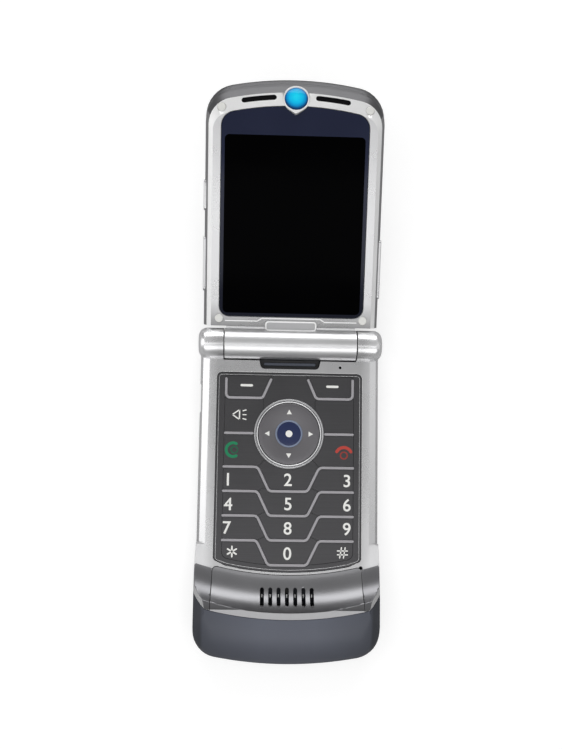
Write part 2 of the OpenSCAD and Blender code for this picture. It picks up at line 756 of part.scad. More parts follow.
module usb_port() color(steel) difference() {
    box([-base_half + 0.5, port_y[1] + 0.1, port_z - port_half_h + 0.1],
        [-base_half + 5.8, port_y[0] - 0.1, port_z + port_half_h - 0.1]);
    box([-base_half - 1, port_y[1] + 0.5, port_z - port_half_h + 0.5],
        [-base_half + 5, port_y[0] - 0.5, port_z + port_half_h - 0.5]);
}

module battery() color([0.16, 0.17, 0.2])
    slab(door_t + 0.35, board_z - 0.5) polygon(rounded([[-battery_half, -battery_near],
        [battery_half, -battery_near], [battery_half, -battery_far], [-battery_half, -battery_far]], 1.5));

module loudspeaker() color(black)
    box([-speaker_half, -battery_near + 2.8, floor_t], [speaker_half, -wall_front - 0.4, board_z - 0.4]);

module microphone() color(steel) translate([0, -mic_y, base_t - rim_t - 1.75]) cylinder(r = 2, h = 1.7);

module antenna() color([0.75, 0.6, 0.3]) difference() {
    box([-chin_room.x + 1, -antenna_end, chin_wall],
        [chin_room.x - 1, -antenna_end + 9.6, chin_room.z - 0.9]);
    box([-chin_room.x + 1 + antenna_t, -antenna_end + antenna_t, chin_wall + antenna_t],
        [chin_room.x - 1 - antenna_t, 0, big]);
    bowl(rim_t + 0.6);
}

module flex_cover() color(black) difference() {
    union() {
        slab(notch_z - liner_t + layer_gap, notch_z) notch_plan(-layer_gap);
        slab(notch_z - eps, notch_z + 0.5) polygon(stroke([[-flex_bar.x, flex_bar.y], flex_bar], 0.8));
    }
    barrel_room();
}

module hinge_pin(bore) difference() {
    across(pin_r, knuckle_in - knuckle_gap - pin_run, knuckle_in + pin_seat - 0.1);
    if (bore > 0) across(bore, 0, big);
}

module hinge_cam() color(steel) translate([0, 0, hinge_z]) hinge_pin(0);

module hinge_bush() color(steel) translate([0, 0, hinge_z]) mirror([1, 0, 0]) hinge_pin(1.2);

module base_screws() color(steel) difference() {
    union() {
        screw_holes(screw_head_r, 0.15, 0.7);
        screw_holes(screw_r, 0.6, base_t - plate_t - 0.9);
    }
    for (p = screw_places) translate([p.x, p.y, 0]) cylinder(r = 0.55, h = 0.45, $fn = 6);
}

// ---------------------------------------------------------------- base, moving pieces

module battery_door() color([0.5, 0.52, 0.55]) slab(0.08, 0.08 + door_t) door_plan(0);

module door_latch() color(black) difference() {
    box([-latch_half, -latch_start - latch_len, 0.12], [latch_half, -latch_start, 1.75]);
    for (i = [-1:1]) translate([0, -latch_start - latch_len / 2 + i * 0.9, 0])
        box([-latch_half + 1, -0.2, 0], [latch_half - 1, 0.2, 0.3]);
}

module soft_key_left() color(dark_metal) key_body() soft_cell(-1);
module soft_key_right() color(dark_metal) key_body() soft_cell(1);
module speaker_key() color(dark_metal) key_body() upper_cell(-1);
module back_key() color(dark_metal) key_body() upper_cell(1);
module send_key() color(dark_metal) key_body() lower_cell(-1);
module end_key() color(dark_metal) key_body() lower_cell(1);

module nav_actuator() color(black) translate(concat(nav_c, actuator_z)) difference() {
    cylinder(r = trim_in - nav_gap - 0.3, h = actuator_t);
    translate([0, 0, -1]) cylinder(r = select_r + select_gap, h = 3);
}

module nav_ring() color([0.45, 0.45, 0.47]) translate(concat(nav_c, 0)) rotate_extrude($fn = 96)
    polygon([[select_r + select_gap, ring_z], [trim_in - nav_gap, ring_z],
             [trim_in - nav_gap, pad_z + 0.05], [trim_in - nav_gap - 0.2, pad_z + 0.18],
             [select_r + select_gap + 0.2, pad_z + 0.12], [select_r + select_gap, pad_z]]);

module select_key() color([0.08, 0.12, 0.28])
    translate(concat(nav_c, dome_top + 0.3)) rotate_extrude($fn = 72)
        let (h = pad_z - dome_top)
            polygon([[0, 0], [select_r, 0], [select_r, h - 0.25], [select_r - 0.3, h - 0.1], [0, h]]);

// ---------------------------------------------------------------- lid

lens_z = lid_face - 0.15;
lens_plan = let (p = arched_plan(lens_half, lens_low, lens_top, 4.2), k = len(p) - 1)
    concat(bend(p[k], p[0], p[1], 3), [for (i = [1:k - 1]) p[i]], bend(p[k - 1], p[k], p[0], 3));

// The jewel leans with the falling edge of the lid
module jewel_place() translate([0, jewel_y, lid_face - 0.85]) rotate([-jewel_tilt, 0, 0]) children();

module bezel_plan(grow) offset(delta = grow) hull() {
    circle(r = jewel_r);
    translate([0, -jewel_r - 0.25]) circle(r = 0.3);
}

module lid_inside(low, high) slab(low, high)
    polygon(arched_plan(lid_half - 2 * wall + 0.4, lid_start + wall, lid_len - 5.2, 5));

// A pad with round ends in the right wall of the lid, from the depth low to the depth high
module side_pad(start, length, play, low, high)
    translate([lid_half, 0, side_key_mid]) rotate([0, 90, 0]) slab(low, high)
        polygon(stroke([[0, start + side_key_h / 2], [0, start + length - side_key_h / 2]],
                       side_key_h + 2 * play));

module side_slots() {
    side_pad(voice_start, voice_len, side_key_play, -side_key_in - 1.2, big);
    mirror([1, 0, 0]) {
        side_pad(smart_start, smart_len, side_key_play, -side_key_in - 1.2, big);
        side_pad(volume_start, volume_len, side_key_play, -side_key_in - 1.2, big);
        translate(volume_pin) cylinder(r = volume_pin_r + pin_fit, h = side_key_h + 1.1, center = true);
    }
}

ear_start = jewel_r + bezel_w + 2.45;
ear_len = 8.6;
module ear_slot(s) linear_extrude(40, center = true) polygon(stroke(
    [for (i = [0:6]) let (x = ear_start + ear_len * i / 6) [s * x, arch(jewel_y + 0.45, x)]], 1.45));

bumper_x = crown_half - 2.4;
bumper_places = [[bumper_x, lens_low - 0.6, lid_face + 0.25], [bumper_x, lens_top - 0.7, lid_face - 0.45]];
module bumper_set(grow) for (p = bumper_places, s = [-1, 1])
    translate([s * p.x, p.y, p.z - 1.1 - grow]) cylinder(r = bumper_r + grow, h = 1.1 + 12 * grow);

// Plan of the tab, grown outwards
module tab_plan(grow) offset(delta = grow) polygon(rounded([[-tab_half, tab_low], [tab_half, tab_low],
    [tab_half, tab_low + tab_len], [-tab_half, tab_low + tab_len]], tab_round));
tab_floor = -1.4;
tab_top = 0.3;
module tab_room(grow) slab(tab_floor - grow, 9) tab_plan(grow);

// The raised line along the lid's lower edge climbs over the tab
line_low = tab_low + tab_len - 0.15;
line_top = lens_low - 0.4;
module lid_line() slab(lid_face - 0.4, lid_face + line_rise) polygon(stroke(eased(
    [[-bumper_x + 1.9, line_low], [-tab_half - 2.3, line_low], [-tab_half - 1, line_top],
     [tab_half + 1, line_top], [tab_half + 2.3, line_low], [bumper_x - 1.9, line_low]], 0.8), line_w));

module lid_frame() color(silver) on_lid() difference() {
    union() {
        lid_form();
        lid_line();
    }
    box([-big, -big, -big], [big, big, lid_parting]);
    lid_inside(-big, lid_floor);
    slab(lens_z - lens_t, big) offset(delta = 0.08) polygon(lens_plan);
    slab(-big, big) offset(delta = 0.15) polygon(rounded([[-display_half, display_low],
        [display_half, display_low], [display_half, display_top], [-display_half, display_top]], 0.3));
    jewel_place() slab(-1.6, 9) bezel_plan(bezel_w + 0.04);
    mirrored() ear_slot(1);
    bumper_set(0.05);
    side_slots();
    tab_room(0.05);
}

module outer_plan(grow) offset(delta = grow) polygon(rounded([[-13.5, outer_low], [13.5, outer_low],
    [12, outer_top], [-12, outer_top]], 4));
camera_y = 10.6;
camera_r = 2.6;

module lid_cover() color(silver) on_lid() difference() {
    lid_form();
    box([-big, -big, lid_parting - seam], [big, big, big]);
    lid_inside(cover_floor, big);
    slab(-big, lid_back + 0.7) outer_plan(0.06);
    slab(-big, big) polygon(rounded([[-outer_window.x, outer_window.y], [outer_window.x, outer_window.y],
        [outer_window.x, outer_window.z], [-outer_window.x, outer_window.z]], 0.5));
    translate([0, camera_y, lid_back - 1]) cylinder(r = camera_r + 0.05, h = 5);
    side_slots();
}

module hinge_barrel() color(silver) on_lid() difference() {
    union() {
        across(barrel_r, -barrel_half, barrel_half);
        box([-barrel_half + 0.3, 0, -barrel_r + 0.1], [barrel_half - 0.3, lid_start - 0.05, lid_face - 0.2]);
    }
    across(cartridge_r + seat_fit, barrel_half - cartridge_len - seat_fit, big);
    across(pin_r + pin_fit, -big, -barrel_half + pin_run + 0.3);
    tab_room(0.05);
}

module hinge_cartridge() color(steel) on_lid() difference() {
    across(cartridge_r, barrel_half - cartridge_len, barrel_half - 0.1);
    across(pin_r + pin_fit, barrel_half - pin_run - 0.3, big);
}

module main_lens() color([0.08, 0.09, 0.14]) on_lid() difference() {
    slab(lens_z - lens_t + 0.02, lens_z) polygon(lens_plan);
    jewel_place() slab(-4, 4) bezel_plan(bezel_w + 0.08);
}

module display_module() color(black) on_lid()
    box([-display_half, display_low, lid_face - 3], [display_half, display_top, lens_z - lens_t - 0.05]);

module lid_board() color(board_green) on_lid() {
    box([-display_half + 0.2, display_low + 2.9, lid_face - 3.7],
        [display_half - 0.2, display_top + 0.5, lid_face - 3.1]);
    box([-outer_window.x + 0.2, outer_window.y + 0.2, lid_back + 0.8],
        [outer_window.x - 0.2, outer_window.z - 0.2, lid_face - 3.7 + eps]);
}

module outer_lens() color(black) on_lid() slab(lid_back + 0.05, lid_back + 0.65) outer_plan(0);

module camera_module() color(steel) on_lid() translate([0, camera_y, lid_back]) difference() {
    cylinder(r = camera_r, h = 2.35);
    translate([0, 0, -1]) cylinder(r1 = 2.2, r2 = 0.9, h = 1.7);
}

module earpiece() color(black) on_lid()
    box([-5.6, display_top + 1.1, lid_face - 4.6], [5.6, lens_top - 1.5, lid_floor - 0.1]);

module jewel() color([0.0, 0.6, 0.85]) on_lid() jewel_place() intersection() {
    translate([0, 0, -1.5]) cylinder(r = jewel_r - 0.03, h = 5);
    translate([0, 0, jewel_rise - jewel_dome]) sphere(r = jewel_dome, $fn = 72);
}

module jewel_bezel() color("white") on_lid() jewel_place() difference() {
    slab(-1.55, 0.1) bezel_plan(bezel_w);
    translate([0, 0, -5]) cylinder(r = jewel_r, h = 10);
}

module bumpers() color([0.8, 0.8, 0.8]) on_lid() bumper_set(0);

module lid_tab() color([0.72, 0.72, 0.73]) on_lid() difference() {
    slab(tab_floor, tab_top) tab_plan(0);
    slab(tab_top - 0.15, big) tab_plan(-tab_rim);
}

module vibration_motor() color(steel) on_lid()
    translate([lid_half - 10.3, lens_top - 3.8, lid_face - 3.3])
    rotate([0, 90, 0]) cylinder(r = 1.3, h = 7, center = true);

module side_key(start, length) side_pad(start, length, 0, -side_key_in, side_key_out);

module smart_key() color(silver) on_lid() mirror([1, 0, 0]) side_key(smart_start, smart_len);
module volume_key() color(silver) on_lid() mirror([1, 0, 0]) {
    side_key(volume_start, volume_len);
    translate(volume_pin) cylinder(r = volume_pin_r, h = side_key_h + 0.9, center = true);
}
module voice_key() color(silver) on_lid() side_key(voice_start, voice_len);

// ---------------------------------------------------------------- nodes

base_frame();
rear_housing();
chin_cover();
mic_cover();
keypad_plate();
key_web();
nav_trim();
dome_sheet();
main_board();
shield_cans();
usb_port();
battery();
loudspeaker();
microphone();
antenna();
flex_cover();
hinge_cam();
hinge_bush();
base_screws();
battery_door();
door_latch();
soft_key_left();
soft_key_right();
speaker_key();
back_key();
send_key();
end_key();
nav_actuator();
nav_ring();
select_key();
for (row = [0:3], column = [0:2])
    color(dark_metal) digit_key(row, column);
lid_frame();
lid_cover();
hinge_barrel();
hinge_cartridge();
main_lens();
display_module();
lid_board();
outer_lens();
camera_module();
earpiece();
jewel();
jewel_bezel();
bumpers();
lid_tab();
vibration_motor();
smart_key();
volume_key();
voice_key();
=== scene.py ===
"""A thin flip phone, open on its back: the finishes of its pieces, the prints on its keys, the small
plates and wires that finish it, the studio and the camera. Lengths are in millimetres, times MM."""

import json
import math

import bpy
from mathutils import Matrix, Vector
from mathutils.bvhtree import BVHTree


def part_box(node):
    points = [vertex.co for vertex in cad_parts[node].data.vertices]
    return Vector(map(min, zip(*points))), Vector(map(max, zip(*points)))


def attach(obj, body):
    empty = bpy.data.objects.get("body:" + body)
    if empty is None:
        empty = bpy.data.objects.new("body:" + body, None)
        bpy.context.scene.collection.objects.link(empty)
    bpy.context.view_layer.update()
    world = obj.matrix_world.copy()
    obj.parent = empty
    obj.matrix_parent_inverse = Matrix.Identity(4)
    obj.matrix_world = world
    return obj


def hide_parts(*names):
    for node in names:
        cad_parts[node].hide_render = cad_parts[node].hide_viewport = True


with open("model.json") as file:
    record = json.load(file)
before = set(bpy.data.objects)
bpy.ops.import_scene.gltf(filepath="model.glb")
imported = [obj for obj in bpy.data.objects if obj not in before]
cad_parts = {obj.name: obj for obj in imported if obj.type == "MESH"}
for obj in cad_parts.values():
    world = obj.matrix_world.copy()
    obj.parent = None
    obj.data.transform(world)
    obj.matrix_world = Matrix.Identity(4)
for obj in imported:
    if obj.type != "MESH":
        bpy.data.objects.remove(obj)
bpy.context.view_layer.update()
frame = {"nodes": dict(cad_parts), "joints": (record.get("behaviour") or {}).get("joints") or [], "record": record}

MM = 0.001
NODES = frame["nodes"]
BODY = {node: body for body, members in frame["record"]["behaviour"]["bodies"].items()
        for node in members}
HINGE = next(joint for joint in frame["joints"] if joint["name"] == "lid_hinge")
LID_RISE = math.radians(180 - HINGE["range_deg"][1])
# Takes what is drawn with the lid's inner face up, along +Y from the hinge axis, onto the open lid
ON_LID = Matrix.Translation(Vector(HINGE["pos_m"])) @ Matrix.Rotation(LID_RISE, 4, "X")
FROM_LID = ON_LID.inverted()
ARCH_BACK = 22          # the common centre of all cross arches lies this far behind the hinge axis

# ---------------------------------------------------------------- modelling helpers


def deselect():
    """Leaves edit mode and clears the selection."""
    if bpy.context.object and bpy.context.object.mode != "OBJECT":
        bpy.ops.object.mode_set(mode="OBJECT")
    bpy.ops.object.select_all(action="DESELECT")


def pick(obj):
    """Selects one object alone and makes it the active one."""
    deselect()
    obj.select_set(True)
    bpy.context.view_layer.objects.active = obj


def modify(obj, kind, **settings):
    """Adds one modifier with its settings and applies it."""
    pick(obj)
    modifier = obj.modifiers.new(kind.lower(), kind)
    for key, value in settings.items():
        setattr(modifier, key, value)
    bpy.ops.object.modifier_apply(modifier=modifier.name)


def smooth(obj, angle):
    """Shades the surface smooth where its faces turn by less than an angle in degrees."""
    pick(obj)
    bpy.ops.object.shade_smooth_by_angle(angle=math.radians(angle))


def even_shading(obj):
    """Lets the large faces lead the shading, so that flat faces stay flat beside a rounding."""
    modify(obj, "WEIGHTED_NORMAL", keep_sharp=True, weight=50)


def round_edges(obj, width, crease=32, segments=3):
    """Rounds the edges that turn by more than the crease angle, and smooths what turns by less.
    The shading goes a few degrees further, so that the facets of the rounding are smooth too."""
    modify(obj, "BEVEL", width=width * MM, segments=segments, limit_method="ANGLE",
           angle_limit=math.radians(crease), use_clamp_overlap=False, miter_outer="MITER_ARC")
    smooth(obj, crease + 6)
    even_shading(obj)


def place(obj, matrix=None):
    """Puts the object's own place, and then the given one, into its mesh."""
    bpy.context.view_layer.update()
    obj.data.transform(obj.matrix_world)
    obj.matrix_world = Matrix.Identity(4)
    if matrix:
        obj.data.transform(matrix)
    return obj


def finish(obj, name, material, body, replaces=()):
    """Names a finished piece, gives it its material and lets it ride on its body."""
    obj.name = name
    obj.data.name = name
    obj.data.materials.clear()
    obj.data.materials.append(material)
    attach(obj, body)
    if replaces:
        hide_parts(*replaces)
    return obj


def paint(obj, material, wanted):
    """Gives a second material to the faces for which wanted(middle in mm, normal) is true."""
    obj.data.materials.append(material)
    last = len(obj.data.materials) - 1
    for face in obj.data.polygons:
        if wanted(face.center / MM, face.normal):
            face.material_index = last


def in_lid(test):
    """A test for paint() that is given the middle and the normal as the lid lies, face up."""
    turn = FROM_LID.to_3x3()
    return lambda middle, normal: test(FROM_LID @ (middle * MM) / MM, turn @ normal)


def keep_inside(obj, node):
    """Presses what the rounding pushed past the node's own box back to it."""
    low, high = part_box(node)
    for vertex in obj.data.vertices:
        vertex.co = [min(max(at, least), most) for at, least, most in zip(vertex.co, low, high)]


SAME_SPOT = 0.002       # vertices nearer than this are merged
FLAT_TURN = 0.05        # faces that turn by less than this, in degrees, become one


def skin(node, material, width, crease):
    """A piece that stands for a construction node: the same form, with its edges rounded."""
    obj = bpy.data.objects.new(node + "_skin", NODES[node].data.copy())
    bpy.context.scene.collection.objects.link(obj)
    pick(obj)
    bpy.ops.object.mode_set(mode="EDIT")
    bpy.ops.mesh.select_all(action="SELECT")
    bpy.ops.mesh.remove_doubles(threshold=SAME_SPOT * MM)
    bpy.ops.mesh.dissolve_limited(angle_limit=math.radians(FLAT_TURN))
    bpy.ops.object.mode_set(mode="OBJECT")
    if width:
        round_edges(obj, width, crease)
        keep_inside(obj, node)
    else:
        smooth(obj, crease)
        even_shading(obj)
    return finish(obj, node + "_skin", material, BODY[node], [node])


def lathe(name, centre, profile, material, node, crease=60, replaces=()):
    """Spins a closed profile of radius and height about the vertical through a centre."""
    curve = bpy.data.curves.new(name, "CURVE")
    curve.dimensions = "3D"
    spline(curve, [(centre.x + r, centre.y, z) for r, z in profile], True)
    obj = as_mesh(name, curve)
    pick(obj)
    bpy.ops.object.mode_set(mode="EDIT")
    bpy.ops.mesh.select_all(action="SELECT")
    bpy.ops.mesh.spin(steps=120, angle=math.tau, axis=(0, 0, 1),
                      center=(centre.x * MM, centre.y * MM, 0))
    bpy.ops.mesh.select_all(action="SELECT")
    bpy.ops.mesh.remove_doubles(threshold=0.001 * MM)
    bpy.ops.mesh.normals_make_consistent(inside=False)
    bpy.ops.object.mode_set(mode="OBJECT")
    smooth(obj, crease)
    finish(obj, name, material, BODY[node], replaces)


def ridge_ring(name, centre, radius, width, height, top, material, node):
    """A low round ridge about a centre, with its crest at the height top."""
    facets = 16
    turns = [math.tau * i / facets for i in range(facets)]
    profile = [(radius + width / 2 * math.cos(t), top - height + height * math.sin(t)) for t in turns]
    lathe(name, centre, profile, material, node)


def height_under(node, x, y):
    """The height in millimetres at which a plumb line at x, y first meets a node from above."""
    mesh = NODES[node].data
    tree = BVHTree.FromPolygons([v.co for v in mesh.vertices], [f.vertices for f in mesh.polygons])
    above_all, down = 0.1, Vector((0, 0, -1))
    return tree.ray_cast(Vector((x * MM, y * MM, above_all)), down)[0].z / MM


def as_mesh(name, curve):
    """Puts a curve into the scene and makes a mesh of it."""
    obj = bpy.data.objects.new(name, curve)
    bpy.context.scene.collection.objects.link(obj)
    pick(obj)
    bpy.ops.object.convert(target="MESH")
    return bpy.context.object


def spline(curve, points, closed):
    """Adds a line of straight pieces through points in millimetres to a curve."""
    line = curve.splines.new("POLY")
    line.points.add(len(points) - 1)
    for point, spot in zip(line.points, points):
        point.co = (*(Vector(spot) * MM), 1)
    line.use_cyclic_u = closed


def wire(name, points, radius, closed=False):
    """A thin round wire through points in millimetres."""
    curve = bpy.data.curves.new(name, "CURVE")
    curve.dimensions = "3D"
    curve.bevel_depth = radius * MM
    curve.bevel_resolution = 2
    curve.use_fill_caps = not closed
    spline(curve, points, closed)
    obj = as_mesh(name, curve)
    smooth(obj, 60)
    return obj


def plate(name, outline, thickness, z, edge=0.0):
    """A flat plate cut to a closed outline, lying on the height z, all in millimetres."""
    curve = bpy.data.curves.new(name, "CURVE")
    curve.dimensions = "2D"
    curve.fill_mode = "BOTH"
    curve.extrude = thickness / 2 * MM
    spline(curve, outline, True)
    obj = as_mesh(name, curve)
    obj.data.transform(Matrix.Translation(Vector((0, 0, z + thickness / 2)) * MM))
    if edge:
        round_edges(obj, edge, segments=2)
    return obj


def arc(centre, radius, start, turn, count):
    """Points of an arc in the plan, in millimetres and degrees."""
    turns = [math.radians(start + turn * i / count) for i in range(count + 1)]
    return [Vector((centre[0] + radius * math.cos(t), centre[1] + radius * math.sin(t), 0))
            for t in turns]


def circle(centre, radius, count=40):
    """Points of a closed circle in the plan, in millimetres."""
    return arc(centre, radius, 0, 360, count)[:-1]


def eased(points, radius, count=6):
    """The closed line through points in the plan, with its bends rounded."""
    points = [Vector((*p[:2], 0)) for p in points]
    line = []
    for i, spot in enumerate(points):
        back = (points[i - 1] - spot).normalized()
        on = (points[(i + 1) % len(points)] - spot).normalized()
        half = back.angle(on) / 2
        centre = spot + (back + on).normalized() * radius / math.sin(half)
        a = spot + back * radius / math.tan(half) - centre
        b = spot + on * radius / math.tan(half) - centre
        for k in range(count + 1):
            line.append(centre + Matrix.Rotation(a.angle(b) * k / count, 3, a.cross(b)) @ a)
    return line


def rounded_box(low, high, radius):
    """A rectangle in the plan between its lowest and highest corners, with its corners rounded."""
    corners = [(low[0], low[1]), (high[0], low[1]), (high[0], high[1]), (low[0], high[1])]
    return eased(corners, radius)


def arch(y, x):
    """How far along the phone the arch through the middle point y runs at x."""
    return math.copysign(math.sqrt((ARCH_BACK + abs(y)) ** 2 - x * x) - ARCH_BACK, y)


def pen(points, width):
    """The outline of a line drawn with a round pen."""
    last = len(points) - 1
    left, right = [], []
    for i, spot in enumerate(points):
        along = (points[min(i + 1, last)] - points[max(i - 1, 0)]).normalized()
        side = Vector((-along.y, along.x, 0)) * width / 2
        left.append(spot + side)
        right.append(spot - side)

    def cap(spot, rim):
        way = rim - spot
        return arc(spot, width / 2, math.degrees(math.atan2(way.y, way.x)), -180, 6)[1:-1]

    return left + cap(points[-1], left[-1]) + right[::-1] + cap(points[0], right[0])


def extent(spots):
    """Lowest and highest corners of the box round some points."""
    return (Vector([min(s[k] for s in spots) for k in range(3)]),
            Vector([max(s[k] for s in spots) for k in range(3)]))


def lid_box(node):
    """Lowest and highest corners of a lid node as the lid lies, face up, in millimetres."""
    return extent([FROM_LID @ v.co / MM for v in NODES[node].data.vertices])


# ---------------------------------------------------------------- effects shared by the finishes, painted shade among them


def group(name, inputs, outputs):
    """A shader node group with number inputs and number outputs, and its two end nodes."""
    tree = bpy.data.node_groups.new(name, "ShaderNodeTree")
    for label, default in inputs.items():
        socket = tree.interface.new_socket(label, in_out="INPUT", socket_type="NodeSocketFloat")
        socket.default_value = default
    for label in outputs:
        tree.interface.new_socket(label, in_out="OUTPUT", socket_type="NodeSocketFloat")
    return tree, tree.nodes.new("NodeGroupInput").outputs, tree.nodes.new("NodeGroupOutput").inputs


def feed(tree, socket, value):
    """Sets a socket to a number, or links another socket to it."""
    if isinstance(value, (int, float)):
        socket.default_value = value
    else:
        tree.links.new(value, socket)


def maths(tree, operation, a, b=0.0, clamp=False):
    """The outcome of one sum with numbers or sockets."""
    node = tree.nodes.new("ShaderNodeMath")
    node.operation = operation
    node.use_clamp = clamp
    feed(tree, node.inputs[0], a)
    feed(tree, node.inputs[1], b)
    return node.outputs[0]


def spread(tree, value, low, high, to_low, to_high):
    """A value carried over from one range to another."""
    node = tree.nodes.new("ShaderNodeMapRange")
    labels = ("Value", "From Min", "From Max", "To Min", "To Max")
    for label, number in zip(labels, (value, low, high, to_low, to_high)):
        feed(tree, node.inputs[label], number)
    return node.outputs["Result"]


def colour_row(tree, value, stops):
    """The colour that a value from nought to one finds in a row of stops (place, colour). The
    first stop is at nought and the last one at one."""
    node = tree.nodes.new("ShaderNodeValToRGB")
    feed(tree, node.inputs[0], value)
    row = node.color_ramp.elements
    row[0].position, row[0].color = stops[0][0], (*stops[0][1], 1)
    row[1].position, row[1].color = stops[-1][0], (*stops[-1][1], 1)
    for spot, colour in stops[1:-1]:
        row.new(spot).color = (*colour, 1)
    return node.outputs["Color"]


def noise(tree, vector, scale, detail, rough):
    """A cloudy value round one half."""
    node = tree.nodes.new("ShaderNodeTexNoise")
    node.inputs["Detail"].default_value = detail
    node.inputs["Roughness"].default_value = rough
    feed(tree, node.inputs["Scale"], scale)
    tree.links.new(vector, node.inputs["Vector"])
    return node.outputs["Fac"]


def object_spot(tree):
    """The place on the piece, in metres."""
    return tree.nodes.new("ShaderNodeTexCoord").outputs["Object"]


def make_marks():
    """Handling marks: a fine grain, cloudy wear and a few faint specks."""
    tree, take, give = group(
        "handling_marks", {"Grain": 2600.0, "Grain depth": 0.3, "Clouds": 90.0, "Specks": 0.2},
        ("Tone", "Rough", "Height"))
    spot = object_spot(tree)
    grain = noise(tree, spot, take["Grain"], 3.0, 0.6)
    clouds = noise(tree, spot, take["Clouds"], 4.0, 0.55)
    cells = tree.nodes.new("ShaderNodeTexVoronoi")
    cells.inputs["Scale"].default_value = 700.0
    tree.links.new(spot, cells.inputs["Vector"])
    speck = maths(tree, "MULTIPLY", spread(tree, cells.outputs["Distance"], 0.02, 0.07, 1.0, 0.0),
                  spread(tree, clouds, 0.55, 0.7, 0.0, 1.0), clamp=True)
    speck = maths(tree, "MULTIPLY", speck, take["Specks"])
    tree.links.new(maths(tree, "ADD", spread(tree, clouds, 0.2, 0.8, 0.94, 1.05),
                         spread(tree, grain, 0.2, 0.8, -0.03, 0.03)), give["Tone"])
    tree.links.new(maths(tree, "ADD", spread(tree, clouds, 0.25, 0.75, -0.03, 0.04), speck),
                   give["Rough"])
    tree.links.new(maths(tree, "MULTIPLY", grain, take["Grain depth"]), give["Height"])
    return tree


def make_brushing():
    """Fine lines left by brushing: long along X, short across it."""
    tree, take, give = group("brushing", {"Along": 40.0, "Across": 3500.0, "Depth": 0.3},
                             ("Tone", "Height"))
    scale = tree.nodes.new("ShaderNodeCombineXYZ")
    for axis, label in zip("XYZ", ("Along", "Across", "Across")):
        tree.links.new(take[label], scale.inputs[axis])
    stretched = tree.nodes.new("ShaderNodeVectorMath")
    stretched.operation = "MULTIPLY"
    tree.links.new(object_spot(tree), stretched.inputs[0])
    tree.links.new(scale.outputs[0], stretched.inputs[1])
    lines = noise(tree, stretched.outputs[0], 1.0, 3.0, 0.6)
    tree.links.new(spread(tree, lines, 0.25, 0.75, 0.93, 1.06), give["Tone"])
    tree.links.new(maths(tree, "MULTIPLY", lines, take["Depth"]), give["Height"])
    return tree


def make_turning():
    """Fine rings left by turning a disc about the middle given in metres."""
    tree, take, give = group("turning", {"Middle X": 0.0, "Middle Y": 0.0, "Rings": 9000.0,
                                         "Depth": 0.3}, ("Tone", "Height"))
    parts = tree.nodes.new("ShaderNodeSeparateXYZ")
    tree.links.new(object_spot(tree), parts.inputs[0])
    x = maths(tree, "SUBTRACT", parts.outputs["X"], take["Middle X"])
    y = maths(tree, "SUBTRACT", parts.outputs["Y"], take["Middle Y"])
    away = maths(tree, "SQRT", maths(tree, "ADD", maths(tree, "MULTIPLY", x, x),
                                     maths(tree, "MULTIPLY", y, y)))
    line = tree.nodes.new("ShaderNodeCombineXYZ")
    tree.links.new(maths(tree, "MULTIPLY", away, take["Rings"]), line.inputs["X"])
    rings = noise(tree, line.outputs[0], 1.0, 2.0, 0.6)
    tree.links.new(spread(tree, rings, 0.25, 0.75, 0.9, 1.1), give["Tone"])
    tree.links.new(maths(tree, "MULTIPLY", rings, take["Depth"]), give["Height"])
    return tree


def make_shade_fade(axis):
    """A painted shade: a tone that rises from Low to one between two places in metres, along the phone
    for the axis Y, and counted from its middle to both sides for the axis X."""
    tree, take, give = group("fade_" + axis.lower(), {"From": 0.0, "To": 0.01, "Low": 0.5}, ("Tone",))
    parts = tree.nodes.new("ShaderNodeSeparateXYZ")
    tree.links.new(object_spot(tree), parts.inputs[0])
    spot = parts.outputs[axis]
    if axis == "X":
        spot = maths(tree, "ABSOLUTE", spot)
    tree.links.new(spread(tree, spot, take["From"], take["To"], take["Low"], 1.0), give["Tone"])
    return tree


SHADE_FADES = {axis: make_shade_fade(axis) for axis in "XY"}
MARKS = make_marks()
BRUSHING = make_brushing()
TURNING = make_turning()

# ---------------------------------------------------------------- finishes, with painted shade and highlights among them


def bare_material(name, metallic=0.0, coat=0.0, gloss=0.5):
    """A new material and its shader, with the values that are the same all over it."""
    material = bpy.data.materials.new(name)
    material.use_nodes = True
    shader = material.node_tree.nodes["Principled BSDF"]
    shader.inputs["Metallic"].default_value = metallic
    shader.inputs["Coat Weight"].default_value = coat
    shader.inputs["Coat Roughness"].default_value = 0.06
    shader.inputs["Specular IOR Level"].default_value = gloss
    return material, shader


def effect(material, tree, **values):
    """Places a shared effect in a material. In the names of its inputs, _ stands for a space."""
    node = material.node_tree.nodes.new("ShaderNodeGroup")
    node.node_tree = tree
    for label, value in values.items():
        node.inputs[label.replace("_", " ")].default_value = value
    return node.outputs


def tint(material, shader, colour, tones):
    """The base colour, times tones that vary over the surface."""
    tree = material.node_tree
    tone = tones[0]
    for other in tones[1:]:
        tone = maths(tree, "MULTIPLY", tone, other)
    mix = tree.nodes.new("ShaderNodeMix")
    mix.data_type = "RGBA"
    mix.blend_type = "MULTIPLY"
    mix.inputs["Factor"].default_value = 1.0
    if isinstance(colour, tuple):
        mix.inputs["A"].default_value = (*colour, 1)
    else:
        tree.links.new(colour, mix.inputs["A"])
    tree.links.new(tone, mix.inputs["B"])
    tree.links.new(mix.outputs["Result"], shader.inputs["Base Color"])


def bump(material, shader, heights, depth):
    """The heights together, as a relief of a depth in millimetres."""
    tree = material.node_tree
    height = heights[0]
    for other in heights[1:]:
        height = maths(tree, "ADD", height, other)
    node = tree.nodes.new("ShaderNodeBump")
    node.inputs["Strength"].default_value = 0.5
    node.inputs["Distance"].default_value = depth * MM
    tree.links.new(height, node.inputs["Height"])
    tree.links.new(node.outputs["Normal"], shader.inputs["Normal"])


CLOUDS, SPECKS = 90.0, 0.1          # scale of the cloudy wear, and strength of the specks


